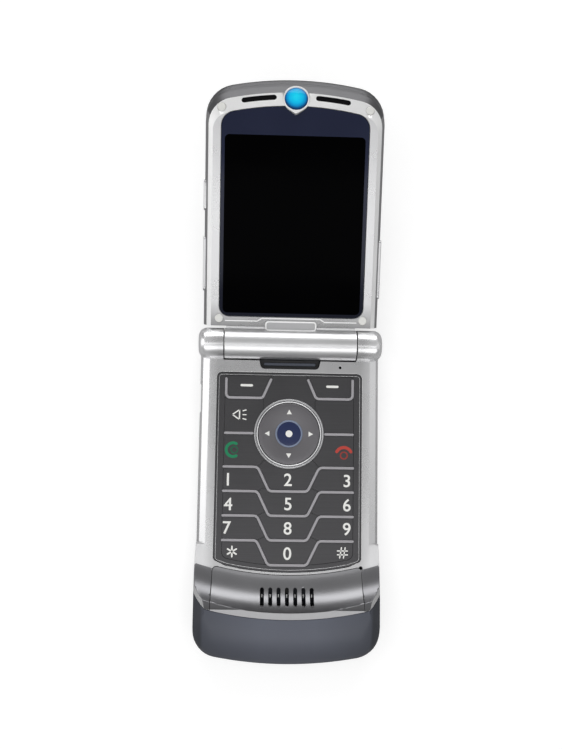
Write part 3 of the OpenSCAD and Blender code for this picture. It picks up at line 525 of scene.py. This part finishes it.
def finish_of(name, colour, rough, metallic=0.0, coat=0.0, gloss=0.5, grain=4200.0, grain_depth=0.3,
              depth=0.004, brushed=None, turned=None, shade_fades=()):
    """A finish with grain, cloudy wear and specks, and lines where it has them: brushed along and
    across X with a depth, or turned about X and Y in metres, with rings and a depth. A fade, which paints
    shade, is its axis, the place in millimetres where its tone is Low, the place where it is one, and Low."""
    material, shader = bare_material(name, metallic, coat, gloss)
    marks = effect(material, MARKS, Grain=grain, Grain_depth=grain_depth, Clouds=CLOUDS, Specks=SPECKS)
    tones, heights = [marks["Tone"]], [marks["Height"]]
    if brushed:
        lines = effect(material, BRUSHING, Along=brushed[0], Across=brushed[1], Depth=brushed[2])
        tones.append(lines["Tone"])
        heights.append(lines["Height"])
    if turned:
        rings = effect(material, TURNING, Middle_X=turned[0], Middle_Y=turned[1], Rings=turned[2],
                       Depth=turned[3])
        tones.append(rings["Tone"])
        heights.append(rings["Height"])
    for axis, start, end, low in shade_fades:
        tones.append(effect(material, SHADE_FADES[axis], From=start * MM, To=end * MM, Low=low)["Tone"])
    tint(material, shader, colour, tones)
    material.node_tree.links.new(
        maths(material.node_tree, "ADD", marks["Rough"], rough, clamp=True), shader.inputs["Roughness"])
    bump(material, shader, heights, depth)
    return material


RING_LOW, RING_HIGH = (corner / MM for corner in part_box("nav_ring"))
NAV = (RING_LOW + RING_HIGH) / 2
SELECT_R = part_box("select_key")[1].x / MM

# Painted shade: the base's silver is darker inward of the rails' outer slopes, and darker towards the chin.
SILVER = finish_of("satin_silver", (0.88, 0.88, 0.89), 0.27, metallic=0.85,
                   shade_fades=[("X", 21.0, 24.2, 0.72), ("Y", -60.0, -10.0, 0.78)])
BUTTON = finish_of("button_silver", (0.70, 0.70, 0.71), 0.28, metallic=0.85)
# Painted shade: the lid's silver darkens towards the hinge.
LID_SILVER = finish_of("lid_silver", (0.76, 0.76, 0.77), 0.28, metallic=0.75,
                       shade_fades=[("Y", 5.0, 12.0, 0.42)])
# A darker copy of the silver, for the lid's outer slopes and the lid cover's rim: painted shade.
SHADED_EDGE = finish_of("edge_silver_painted_shade", (0.34, 0.34, 0.35), 0.34, metallic=0.85, brushed=(60, 4200, 0.4))
# A still darker copy of the silver, for the lid's tip where it faces away from the hinge: painted shade.
SHADED_TIP = finish_of("tip_silver_painted_shade", (0.135, 0.135, 0.14), 0.36, metallic=0.85, brushed=(60, 4200, 0.6))
# A darker copy of the silver, for the two hollows beside the ramp and darker still towards the chin: painted
# shade.
SHADED_EAR = finish_of("ear_silver_painted_shade", (0.22, 0.22, 0.23), 0.29, metallic=0.9,
                shade_fades=[("Y", -80.0, -72.0, 0.5)])
# A lighter copy of the ramp's silver, for the lip at its foot: painted highlight.
LIT_LIP = finish_of("lip_silver_painted_highlight", (0.44, 0.44, 0.45), 0.32, metallic=0.7)
# A darker copy of the silver, for the lid's tab: painted shade.
SHADED_TAB = finish_of("tab_silver_painted_shade", (0.44, 0.44, 0.45), 0.34, metallic=0.8)
CAST = finish_of("cast_silver", (0.56, 0.56, 0.57), 0.36, metallic=0.85, depth=0.006)
# A near-white copy of the silver, for the raised line round the main lens and the lid's upper slopes, the tab's
# top, the jewel's bezel and the ribs in the microphone slots: painted highlight.
PAINTED_HIGHLIGHT = finish_of("bright_edge_painted_highlight", (0.92, 0.92, 0.92), 0.35, metallic=0.4)
# A dark copy of the silver, for the microphone cover's hollow and darker still towards its lip: painted shade.
SHADED_RAMP = finish_of("ramp_silver_painted_shade", (0.27, 0.27, 0.28), 0.30, metallic=0.95,
                 shade_fades=[("Y", -77.0, -73.0, 0.42)])
BARREL = finish_of("barrel_silver", (0.78, 0.78, 0.79), 0.33, metallic=0.9, brushed=(6, 5200, 0.04))
# Painted shade: the chin's rubber darkens towards its sides, most on the sides themselves, and towards its end.
CHIN = finish_of("chin_rubber", (0.098, 0.107, 0.138), 0.50, grain=5200, grain_depth=0.6, depth=0.012,
                 shade_fades=[("X", 27.0, 8.0, 0.55), ("X", 24.5, 23.7, 0.5), ("Y", -90.0, -84.0, 0.75)])
REAR = finish_of("rear_plastic", (0.06, 0.065, 0.08), 0.55, grain=5200, grain_depth=0.6, depth=0.012)
KEYPAD = finish_of("etched_metal", (0.080, 0.079, 0.083), 0.34, metallic=0.75, brushed=(50, 4200, 0.3))
RIB = finish_of("rib_rubber", (0.36, 0.35, 0.37), 0.45, depth=0.006)
# The navigation trim's metal in three tones: a lit copy for its inner ridge and for the line round the keypad
# plate, a shaded copy for its outer ridge, and a dark one for its groove. Painted highlight and painted shade.
LIT_TRIM = finish_of("bright_trim_painted_highlight", (0.84, 0.84, 0.85), 0.20, metallic=0.6, grain_depth=0.1)
SHADED_TRIM = finish_of("soft_trim_painted_shade", (0.50, 0.50, 0.51), 0.30, metallic=0.6, grain_depth=0.1)
SHADED_GROOVE = finish_of("trim_groove_painted_shade", (0.10, 0.10, 0.105), 0.40, metallic=0.7)
RING = finish_of("ring_metal", (0.17, 0.165, 0.175), 0.40, metallic=0.7,
                 turned=(NAV.x * MM, NAV.y * MM, 9000.0, 0.0))
NAVY = finish_of("navy_key", (0.004, 0.014, 0.075), 0.30, coat=0.2, grain_depth=0.1, depth=0.002)
NAVY_RIM = finish_of("navy_rim", (0.20, 0.24, 0.34), 0.30, metallic=0.3, depth=0.002)
# Painted shade: the lens darkens towards the hinge.
LENS = finish_of("lens_glass", (0.011, 0.015, 0.040), 0.10, gloss=0.25, grain=900, grain_depth=0.02,
                 depth=0.0008, shade_fades=[("Y", 5.0, 50.0, 0.3)])
# A lighter copy of the lens glass, for its bevelled edge: painted highlight.
LENS_EDGE_HIGHLIGHT = finish_of("lens_edge_painted_highlight", (0.035, 0.04, 0.05), 0.25, gloss=0.3)
DISPLAY = finish_of("display_black", (0.0006, 0.0006, 0.0008), 0.10, gloss=0.01, grain=900,
                    grain_depth=0.02, depth=0.0006)
BUMPER = finish_of("bumper_rubber", (0.80, 0.80, 0.77), 0.35, coat=0.2)
WHITE = finish_of("white_print", (0.86, 0.86, 0.83), 0.4, depth=0.002)
GREEN = finish_of("green_print", (0.0, 0.22, 0.09), 0.4, depth=0.002)
DARK_GREEN = finish_of("dark_green_print", (0.0, 0.12, 0.05), 0.4, depth=0.002)
RED = finish_of("red_print", (0.48, 0.045, 0.03), 0.4, depth=0.002)
DARK_RED = finish_of("dark_red_print", (0.30, 0.03, 0.02), 0.4, depth=0.002)
BLACK = finish_of("black_plastic", (0.012, 0.012, 0.014), 0.45, depth=0.008)
# Black for the real meshes behind the earpiece slots and the loudspeaker, and painted shade on the walls of seams
# and slots, the barrel's ends and the floors of small holes.
BLACK_MESH_AND_SHADE = finish_of("black_mesh_and_painted_shade", (0.003, 0.003, 0.004), 0.7, gloss=0.1, depth=0.008)
BAR = finish_of("flex_cover_blue", (0.075, 0.085, 0.11), 0.40, depth=0.008)
DOOR = finish_of("door_metal", (0.085, 0.09, 0.105), 0.38, metallic=0.6, depth=0.006)
STEEL = finish_of("bare_steel", (0.48, 0.48, 0.50), 0.28, metallic=1.0, brushed=(90, 2600, 0.3))
TIN = finish_of("tin_plate", (0.55, 0.55, 0.56), 0.32, metallic=1.0)
BOARD = finish_of("circuit_board", (0.02, 0.13, 0.06), 0.35, coat=0.3, grain=1200, depth=0.02)
FILM = finish_of("dome_film", (0.70, 0.70, 0.66), 0.4)
WRAP = finish_of("battery_case", (0.05, 0.055, 0.07), 0.45)
GLASS = finish_of("camera_glass", (0.02, 0.012, 0.05), 0.05, coat=0.8, grain_depth=0.02, depth=0.0005)

# Places from the middle of the jewel's painted light to its rim, and their colours
JEWEL_STOPS = ((0.0, (0.01, 0.80, 1.0)), (0.52, (0.0, 0.52, 0.86)), (0.74, (0.0, 0.26, 0.62)),
               (0.86, (0.0, 0.07, 0.22)), (1.0, (0.0, 0.02, 0.08)))


def jewel_blue():
    """Clear blue with painted light: light in the middle of the dome, deep blue at its rim."""
    material, shader = bare_material("jewel_blue", coat=0.12, gloss=0.2)
    tree = material.node_tree
    marks = effect(material, MARKS, Grain=900.0, Grain_depth=0.05, Clouds=420.0, Specks=0.0)
    low, high = lid_box("jewel")
    off_middle, past_rim = 1.0, 0.6
    light_spot = ON_LID @ (Vector((0, (low.y + high.y) / 2 + off_middle, high.z)) * MM)
    away = tree.nodes.new("ShaderNodeVectorMath")
    away.operation = "DISTANCE"
    tree.links.new(object_spot(tree), away.inputs[0])
    away.inputs[1].default_value = light_spot
    share = spread(tree, away.outputs["Value"], 0.0, (high.x + past_rim) * MM, 0.0, 1.0)
    tint(material, shader, colour_row(tree, share, JEWEL_STOPS), [marks["Tone"]])
    shader.inputs["Roughness"].default_value = 0.12
    return material


# ---------------------------------------------------------------- the phone's own pieces

# Finish, rounding of the edges in millimetres, and the angle in degrees from which they are creases
# Some of these finishes are painted light: shade on the microphone cover, the tab and the trim's groove, and a
# highlight on the jewel's bezel.
SKINS = {
    "base_frame": (SILVER, 0.12, 30), "rear_housing": (REAR, 0, 32), "chin_cover": (CHIN, 0.22, 32),
    "mic_cover": (SHADED_RAMP, 0, 30), "keypad_plate": (KEYPAD, 0.02, 40), "key_web": (RIB, 0.14, 40),
    "battery_door": (DOOR, 0.15, 32), "door_latch": (BLACK, 0, 32), "lid_frame": (LID_SILVER, 0, 12),
    "lid_cover": (CAST, 0.15, 30), "hinge_barrel": (BARREL, 0.1, 32), "main_lens": (LENS, 0.16, 32),
    "outer_lens": (LENS, 0.12, 32), "lid_tab": (SHADED_TAB, 0.07, 32), "bumpers": (BUMPER, 0.3, 32),
    "smart_key": (BUTTON, 0.3, 32), "volume_key": (BUTTON, 0.3, 32), "voice_key": (BUTTON, 0.3, 32),
    "camera_module": (BLACK, 0.08, 32), "flex_cover": (BLACK, 0.12, 32),
    "jewel_bezel": (PAINTED_HIGHLIGHT, 0.1, 32), "nav_trim": (SHADED_GROOVE, 0, 25), "select_key": (NAVY, 0.12, 32),
    "usb_port": (STEEL, 0.05, 32), "base_screws": (STEEL, 0.08, 32),
}
KEYS = ["soft_key_left", "soft_key_right", "speaker_key", "back_key", "send_key", "end_key",
        "key_1", "key_2", "key_3", "key_4", "key_5", "key_6", "key_7", "key_8", "key_9",
        "key_star", "key_0", "key_hash"]
# The inner pieces and their finishes; they keep the forms of their construction nodes
INSIDE = {
    "dome_sheet": FILM, "main_board": BOARD, "shield_cans": TIN, "battery": WRAP,
    "loudspeaker": BLACK, "microphone": BLACK, "antenna": BLACK, "hinge_cam": STEEL,
    "hinge_bush": STEEL, "nav_actuator": BLACK, "hinge_cartridge": STEEL, "display_module": DISPLAY,
    "lid_board": BOARD, "earpiece": BLACK, "vibration_motor": STEEL,
}


def dress_nodes():
    """Gives every construction node but the navigation ring its skin or its finish."""
    skins = {node: skin(node, *look) for node, look in SKINS.items()}
    for node in KEYS:
        skin(node, KEYPAD, 0.02, 40)
    for node, material in [*INSIDE.items(), ("jewel", jewel_blue())]:
        NODES[node].data.materials.clear()
        NODES[node].data.materials.append(material)
    paint_shade_and_highlights(skins)


# Where the second finishes begin, most of them painted shade and highlights, in millimetres
FRAME_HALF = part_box("base_frame")[1].x / MM
CASING_WALL = 1.5       # the casing's inner walls lie at least this far inside its sides
SEAM_FLOOR = 1.5        # height from which the walls of the seams are dark
SLIT_X, SLIT_NEAR, SLIT_FAR = 8.5, -76.5, -68          # the part of the microphone cover with slots
LIP_Y = -75             # the lip between ramp and chin begins here
EAR_X, EAR_Y = 20, -62  # and the ramp's two ears here
LINE_RISE = 0.12        # how far the bright line round the main lens stands above the lid's face
RAIL_DROP = 1.3         # how far below that face the lid's dark outer slope begins


def paint_shade_and_highlights(skins):
    """Second finishes, most of them painted light: dark walls in the seams, a darker tip and rails on the lid
    and darker ears beside the ramp as painted shade, bright lines as painted highlights, and the flex cover's blue
    top.
    Along an axis, a face's normal is 1 for a face square to it and 0 for one that lies along it."""
    face = lid_box("lid_frame")[1].z - LINE_RISE
    rail = face - RAIL_DROP
    tab_top = lid_box("lid_tab")[1].z
    barrel_half = lid_box("hinge_barrel")[1].x
    bar_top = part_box("flex_cover")[1].z / MM

    def seam_shade(middle, normal):
        along = abs(normal.x) > 0.9 and abs(middle.x) < FRAME_HALF - CASING_WALL
        across = abs(normal.z) < 0.35 and abs(middle.x) < barrel_half + 0.3
        return (along or across) and middle.z > SEAM_FLOOR

    def cover_wall_shade(middle, normal):
        in_slots = abs(middle.x) < SLIT_X and SLIT_NEAR < middle.y < SLIT_FAR
        return abs(normal.z) < (0.6 if in_slots else 0.2) and not (normal.y > 0.5 and middle.y < LIP_Y)

    def lip_highlight(middle, normal):
        return middle.y < LIP_Y and normal.y < 0.05 and normal.z > 0.5

    def ear_shade(middle, normal):
        beside = middle.y < EAR_Y and abs(middle.x) > EAR_X
        return beside and normal.z > 0.2 and abs(normal.y) > 0.06

    def lid_slope_shade(middle, normal):
        return middle.z < rail

    def tip_slope_shade(middle, normal):
        return middle.z < rail and normal.y > 0.3

    def lens_line_highlight(middle, normal):
        return middle.z > face + 0.03 or (0.4 < normal.z < 0.998 and middle.z > rail)

    def lid_rim_shade(middle, normal):
        return normal.z > -0.45

    def tip_rim_shade(middle, normal):
        return normal.z > -0.45 and normal.y > 0.3

    # Painted shade on the ramp's ears, the walls of seams and slots, the keypad plate's walls, the barrel's ends
    # and the lid's rims, slopes and tip; painted highlights on the ramp's lip, the lens's edge, the line round the
    # lens, the lid's upper slopes and the tab's top. The flex cover's blue top is its own colour.
    paint(skins["base_frame"], SHADED_EAR, ear_shade)
    paint(skins["base_frame"], BLACK_MESH_AND_SHADE, seam_shade)
    paint(skins["lid_cover"], SHADED_EDGE, in_lid(lid_rim_shade))
    paint(skins["lid_cover"], SHADED_TIP, in_lid(tip_rim_shade))
    paint(skins["mic_cover"], LIT_LIP, lip_highlight)
    paint(skins["mic_cover"], BLACK_MESH_AND_SHADE, cover_wall_shade)
    paint(skins["keypad_plate"], BLACK_MESH_AND_SHADE, lambda middle, normal: abs(normal.z) < 0.5)
    paint(skins["hinge_barrel"], BLACK_MESH_AND_SHADE, lambda middle, normal: abs(normal.x) > 0.9)
    paint(skins["flex_cover"], BAR, lambda middle, normal: middle.z > bar_top - 0.3)
    paint(skins["main_lens"], LENS_EDGE_HIGHLIGHT, in_lid(lambda middle, normal: 0.2 < normal.z < 0.97))
    paint(skins["lid_frame"], SHADED_EDGE, in_lid(lid_slope_shade))
    paint(skins["lid_frame"], SHADED_TIP, in_lid(tip_slope_shade))
    paint(skins["lid_frame"], PAINTED_HIGHLIGHT, in_lid(lens_line_highlight))
    paint(skins["lid_tab"], PAINTED_HIGHLIGHT, in_lid(lambda middle, normal: middle.z > tab_top - 0.1))


# ---------------------------------------------------------------- prints on the keys

PRINT = 0.015           # thickness of a print
SUNK = 0.003            # how deep its underside lies in the key
DIGIT_H = 3.63          # height of a digit
# The middles of the prints, and the point of the loudspeaker sign's horn
DIGITS = {"1": (-17.6, -39.9), "2": (-0.1, -39.8), "3": (17.15, -39.9),
          "4": (-17.4, -47.0), "5": (0.0, -46.8), "6": (17.2, -46.9),
          "7": (-17.6, -53.8), "8": (0.0, -53.8), "9": (17.2, -53.8), "0": (0.0, -61.0)}
STAR = Vector((-16.0, -60.6, 0))
HASH = Vector((16.0, -60.6, 0))
DASH_X, DASH_Y = 12.65, -12.3
HORN = Vector((-16.7, -21.0, 0))
SEND, END = (-16.3, -31.3), (16.2, -32.5)


def top_of(node):
    """The height of a node's top in millimetres."""
    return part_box(node)[1].z / MM


def print_on(node, name, outline, material):
    """Prints a filled outline on a key."""
    mark = plate(name, outline, PRINT, top_of(node) - SUNK)
    finish(mark, name, material, BODY[node])


def draw_on(node, name, line, width, material=WHITE):
    """Prints a line of a round pen on a key."""
    print_on(node, name, pen(line, width), material)


def make_digits():
    """The number on each number key, a little bolder than the typeface has it."""
    for digit, (x, y) in DIGITS.items():
        node = "key_" + digit
        deselect()
        bpy.ops.object.text_add(location=(0, 0, 0))
        letter = bpy.context.object
        letter.data.body = digit
        letter.data.extrude = 0.005          # any thickness: the transform below sets it
        letter.data.offset = 0.012
        bpy.ops.object.convert(target="MESH")
        letter = bpy.context.object
        low, high = extent([v.co for v in letter.data.vertices])
        grow = DIGIT_H * MM / (high.y - low.y)
        letter.data.transform(
            Matrix.Translation(Vector((x, y, top_of(node) - SUNK + PRINT / 2)) * MM)
            @ Matrix.Diagonal((grow, grow, PRINT * MM / (high.z - low.z), 1))
            @ Matrix.Translation(-(low + high) / 2))
        finish(letter, "digit_" + digit, WHITE, BODY[node])


def make_star():
    """Three strokes through the star's middle."""
    for i in range(3):
        turn = math.radians(90 + 60 * i)
        reach = Vector((math.cos(turn), math.sin(turn), 0)) * 1.45
        draw_on("key_star", f"star_{i}", [STAR - reach, STAR + reach], 0.46)


def make_hash():
    """Two leaning strokes and two level ones."""
    width, offset = 0.36, 0.55
    lean, reach = Vector((0.25, 1.45, 0)), Vector((1.45, 0, 0))
    for i, shift in enumerate((-offset, offset)):
        up, across = HASH + Vector((shift, 0, 0)), HASH + Vector((0, shift, 0))
        draw_on("key_hash", f"hash_up_{i}", [up - lean, up + lean], width)
        draw_on("key_hash", f"hash_across_{i}", [across - reach, across + reach], width)


def make_soft_key_dashes():
    """The level dash on each soft key."""
    reach = Vector((1.5, 0, 0))
    for side, node in ((-1, "soft_key_left"), (1, "soft_key_right")):
        spot = Vector((side * DASH_X, DASH_Y, 0))
        draw_on(node, node + "_dash", [spot - reach, spot + reach], 0.7)


def make_loudspeaker_sign():
    """A hollow horn with its point to the left, and three waves."""
    length, half = 2.1, 1.45
    corners = [HORN, HORN + Vector((length, half, 0)), HORN + Vector((length, -half, 0))]
    wave_start, wave_end = HORN + Vector((3.1, 0, 0)), HORN + Vector((4.0, 0, 0))
    for i in range(3):
        draw_on("speaker_key", f"horn_{i}", [corners[i], corners[(i + 1) % 3]], 0.36)
        lift = Vector((0, 1.15 * (i - 1), 0))
        draw_on("speaker_key", f"horn_wave_{i}", [wave_start + lift, wave_end + lift * 1.2], 0.32)


def make_handset_signs():
    """The lifted handset of the send key and the laid one of the end key, each with its ring."""
    draw_on("send_key", "send_handset", arc(SEND, 2.0, 62, 236, 20), 0.85, GREEN)
    draw_on("send_key", "send_ring", arc((SEND[0] + 0.4, SEND[1]), 0.95, 0, 350, 24), 0.34, DARK_GREEN)
    draw_on("end_key", "end_handset", arc(END, 2.35, 28, 124, 16), 0.9, RED)
    draw_on("end_key", "end_ring", arc(END, 1.0, 100, 340, 24), 0.4, DARK_RED)


def make_arrows():
    """The four arrows on the navigation ring, set deeper than other prints because it is dished."""
    half, foot, tip, sunk = 0.75, 5.75, 7.1, 0.06
    arrow = [Vector((-half, foot, 0)), Vector((half, foot, 0)), Vector((0, tip, 0))]
    for i in range(4):
        turn = Matrix.Rotation(math.radians(90 * i), 3, "Z")
        outline = [turn @ p + Vector((NAV.x, NAV.y, 0)) for p in arrow]
        name = f"arrow_{i}"
        finish(plate(name, outline, PRINT + 0.05, top_of("nav_ring") - sunk), name, WHITE,
               BODY["nav_ring"])


def make_select_key_details():
    """The dot in the middle of the select key, and the round rim beside the key."""
    print_on("select_key", "select_dot", circle(NAV, 1.0), WHITE)
    ridge_ring("select_rim", NAV, radius=3.74, width=0.55, height=0.2,
               top=top_of("select_key") - 0.02, material=NAVY_RIM, node="nav_ring")


def make_nav_ring():
    """The navigation ring, dished a little towards its middle, and the two ridges of its trim."""
    outer, inner, top = RING_HIGH.x, SELECT_R + 0.1, RING_HIGH.z
    foot = [(inner, RING_LOW.z), (outer, RING_LOW.z)]
    rounded_edge = [(outer, top - 0.14), (outer - 0.06, top - 0.05), (outer - 0.2, top)]
    dish = [(outer - 1.2, top), (inner + 0.3, top - 0.05), (inner, top - 0.16)]
    lathe("nav_ring_skin", NAV, foot + rounded_edge + dish, RING, "nav_ring", 50, ["nav_ring"])
    # The outer ridge takes painted shade and the inner one a painted highlight, both copies of the trim metal.
    top = top_of("nav_trim")
    ridge_ring("trim_ridge_outer", NAV, radius=9.98, width=0.56, height=0.25, top=top,
               material=SHADED_TRIM, node="nav_trim")
    ridge_ring("trim_ridge_inner", NAV, radius=9.32, width=0.42, height=0.25, top=top + 0.01,
               material=LIT_TRIM, node="nav_trim")


def make_mic_glints():
    """A small bright rib in the middle of each slot of the microphone cover, as a painted glint."""
    slots, pitch, y, reach, depth, radius = 7, 2.38, -72.9, 0.42, 1.2, 0.2
    height = height_under("mic_cover", pitch / 2, y) - depth
    for i in range(slots):
        x = (i - slots // 2) * pitch
        rib = wire("mic_glint_rib", [Vector((x, y - reach, height)), Vector((x, y + reach, height))], radius)
        finish(rib, f"mic_glint_rib_{i}", PAINTED_HIGHLIGHT, "base")


# ---------------------------------------------------------------- lines, windows and meshes, with painted highlights and shade among them


def make_display_window():
    """The black glass over the display, on the face of the main lens."""
    low, high = lid_box("display_module")
    lens_top = lid_box("main_lens")[1].z
    window = plate("display_window", rounded_box(low, high, 1.3), PRINT, lens_top - SUNK)
    finish(place(window, ON_LID), "display_window", DISPLAY, "lid")


def make_outer_window():
    """The clear part of the outer lens, on the lid's back."""
    side, near, far = 3.6, 2.6, 4.6          # the margins of the lens round it
    thickness, proud = 0.02, 0.015
    low, high = lid_box("outer_lens")
    half = high.x - side
    outline = rounded_box((-half, low.y + near), (half, high.y - far), 1.2)
    window = plate("outer_window", outline, thickness, low.z - proud)
    finish(place(window, ON_LID), "outer_window", DISPLAY, "lid")


def make_camera_glass():
    """The round glass, let into the camera on the lid's back."""
    low, high = lid_box("camera_module")
    radius, thickness, recess = 1.25, 0.5, 0.55
    glass = plate("camera_glass", circle((low + high) / 2, radius), thickness, low.z + recess, 0.2)
    finish(place(glass, ON_LID), "camera_glass", GLASS, "lid")


def make_ear_meshes():
    """Black mesh in the two earpiece slots beside the jewel."""
    slot_y, width, thickness, floor = 70.85, 1.42, 0.25, -1.75
    for side, name in ((-1, "ear_mesh_left"), (1, "ear_mesh_right")):
        line = [Vector((side * x, arch(slot_y, x), 0)) for x in (6.3, 8, 9.7, 11.4, 13.1, 14.9)]
        mesh = plate("ear_mesh", pen(line, width), thickness, floor)
        finish(place(mesh, ON_LID), name, BLACK_MESH_AND_SHADE, "lid")


def make_hole_shades():
    """Black discs at the bottom of the small holes in the casing, the light sensor and the microphone: painted
    shade.
    """
    depth, thickness = 0.55, 0.1
    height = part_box("keypad_plate")[1].z / MM - depth
    for name, spot, radius in (("sensor_hole_shade", (14.9, -6.6), 0.39), ("rest_hole_shade", (21.3, -64.9), 0.49)):
        finish(plate(name, circle(spot, radius, 20), thickness, height), name, BLACK_MESH_AND_SHADE, "base")


def make_grille_mesh():
    """Black mesh behind the loudspeaker's holes in the back."""
    thickness, height = 0.1, 1.25
    outline = rounded_box((-11.5, -14.4), (12, -9.6), 0.6)
    mesh = plate("grille_mesh", outline, thickness, height)
    finish(mesh, "grille_mesh", BLACK_MESH_AND_SHADE, "base")


def make_keypad_line():
    """The thin bright line along the inside of the keypad plate's edge, a wire that stands for the highlight
    there: a painted highlight.
    """
    low, high = (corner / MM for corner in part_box("keypad_plate"))
    aside, inset, steps = 0.55, 0.6, 12
    half, top, bottom = high.x - aside, high.y - inset, low.y + inset
    across = [half - 2 * half * i / steps for i in range(1, steps)]
    near_edge = [(x, arch(bottom, x)) for x in across]
    corner = arch(bottom, half) + 0.4
    corners = [(-half, top), (half, top), (half, corner), *near_edge, (-half, corner)]
    points = eased(corners, 0.9, 3)
    line = wire("keypad_line", [p + Vector((0, 0, high.z)) for p in points], 0.05, True)
    finish(line, "keypad_line", LIT_TRIM, "base")


def make_port_tongue():
    """The contact tongue in the data port."""
    low, high = (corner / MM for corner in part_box("usb_port"))
    middle = (low + high) / 2
    inset, size = 2.6, (3.6, 5.2, 0.6)
    deselect()
    bpy.ops.mesh.primitive_cube_add(size=1, location=Vector((low.x + inset, middle.y, middle.z)) * MM,
                                    scale=[side * MM for side in size])
    tongue = place(bpy.context.object)
    round_edges(tongue, 0.12)
    finish(tongue, "port_tongue", BLACK, "base")


# ---------------------------------------------------------------- studio and camera

AIM = Vector((-2.613, -8.955, 7.2)) * MM
DISTANCE = 259.67 * MM
LEAN = math.radians(6.349)       # from the vertical, towards the chin
YAW = math.radians(-1.770)       # then about the camera's own upright
ROLL = math.radians(1.086)       # and about its line of sight
SENSOR = 36.0                    # along the picture's height
FOCAL = 42.26
LAMP_DISTANCE = 0.8              # in metres, from the phone's middle
# Each soft box: its size in metres, the light that a mirror would show, and the way to it
LAMPS = {
    "top_strip": ((0.9, 0.13), 1.25, (0, -0.21, 0.975)),
    "chin_side_box": ((1.0, 0.38), 1.5, (0, -0.68, 0.73)),
    "lid_side_strip": ((0.9, 0.38), 2.7, (0, 0.885, 0.465)),
    "left_box": ((0.6, 0.8), 1.1, (-0.84, 0, 0.54)),
    "right_box": ((0.6, 0.8), 0.30, (0.84, 0, 0.54)),
}


def make_camera():
    """A camera that sees the whole phone from above, a little from the chin."""
    right = Vector((1, 0, 0))
    up = Vector((0, math.cos(LEAN), math.sin(LEAN)))
    ahead = Vector((0, math.sin(LEAN), -math.cos(LEAN)))
    right, ahead = (math.cos(YAW) * right + math.sin(YAW) * ahead,
                    -math.sin(YAW) * right + math.cos(YAW) * ahead)
    right, up = (math.cos(ROLL) * right + math.sin(ROLL) * up,
                 -math.sin(ROLL) * right + math.cos(ROLL) * up)
    data = bpy.data.cameras.new("camera")
    data.sensor_fit = "VERTICAL"
    data.sensor_height = SENSOR
    data.lens = FOCAL
    data.clip_start = 0.01
    camera = bpy.data.objects.new("camera", data)
    bpy.context.scene.collection.objects.link(camera)
    turn = Matrix((right, up, -ahead)).transposed().to_4x4()
    camera.matrix_world = Matrix.Translation(AIM - DISTANCE * ahead) @ turn
    bpy.context.scene.camera = camera


def make_lamp(name, size, brightness, direction):
    """A soft box that looks at the phone."""
    data = bpy.data.lights.new(name, "AREA")
    data.shape = "RECTANGLE"
    data.size, data.size_y = size
    data.energy = brightness * math.pi * size[0] * size[1]
    lamp = bpy.data.objects.new(name, data)
    bpy.context.scene.collection.objects.link(lamp)
    away = Vector(direction).normalized()
    lamp.location = away * LAMP_DISTANCE
    lamp.rotation_euler = away.to_track_quat("Z", "Y").to_euler()


def seen_straight(tree):
    """One for rays that show the picture itself, through glass or not, and nought for the light."""
    path = tree.nodes.new("ShaderNodeLightPath")
    return maths(tree, "MAXIMUM", path.outputs["Is Camera Ray"], path.outputs["Is Transmission Ray"])


def make_floor():
    """A wide sheet of paper just under the phone, which glows a little for the picture alone."""
    paper, glow = (0.44, 0.44, 0.44, 1), 0.66
    deselect()
    bpy.ops.mesh.primitive_plane_add(size=6, location=(0, 0, -0.05 * MM))
    floor = bpy.context.object
    floor.name = "floor"
    material, shader = bare_material("floor_paper", gloss=0.1)
    shader.inputs["Base Color"].default_value = paper
    shader.inputs["Roughness"].default_value = 0.9
    shader.inputs["Emission Color"].default_value = (1, 1, 1, 1)
    tree = material.node_tree
    strength = maths(tree, "MULTIPLY", seen_straight(tree), glow)
    tree.links.new(strength, shader.inputs["Emission Strength"])
    floor.data.materials.append(material)


def make_world():
    """Soft grey from above, darker towards the horizon, and white where the camera looks past all."""
    horizon, zenith = (0.26, 0.26, 0.26), (0.42, 0.42, 0.42)
    world = bpy.data.worlds.new("studio")
    bpy.context.scene.world = world
    world.use_nodes = True
    tree = world.node_tree
    back = tree.nodes["Background"]
    way = tree.nodes.new("ShaderNodeSeparateXYZ")
    tree.links.new(tree.nodes.new("ShaderNodeTexCoord").outputs["Generated"], way.inputs[0])
    grey = colour_row(tree, way.outputs["Z"], ((0.0, horizon), (1.0, zenith)))
    tree.links.new(grey, back.inputs["Color"])
    white = tree.nodes.new("ShaderNodeBackground")
    mix = tree.nodes.new("ShaderNodeMixShader")
    tree.links.new(seen_straight(tree), mix.inputs[0])
    tree.links.new(back.outputs[0], mix.inputs[1])
    tree.links.new(white.outputs[0], mix.inputs[2])
    tree.links.new(mix.outputs[0], tree.nodes["World Output"].inputs["Surface"])


bpy.context.scene.view_settings.view_transform = "Standard"
make_camera()
make_floor()
make_world()
for lamp, setting in LAMPS.items():
    make_lamp(lamp, *setting)
dress_nodes()
make_digits()
make_star()
make_hash()
make_soft_key_dashes()
make_loudspeaker_sign()
make_handset_signs()
make_arrows()
make_select_key_details()
make_nav_ring()
make_mic_glints()
make_display_window()
make_outer_window()
make_camera_glass()
make_ear_meshes()
make_hole_shades()
make_grille_mesh()
make_keypad_line()
make_port_tongue()

bpy.context.view_layer.update()
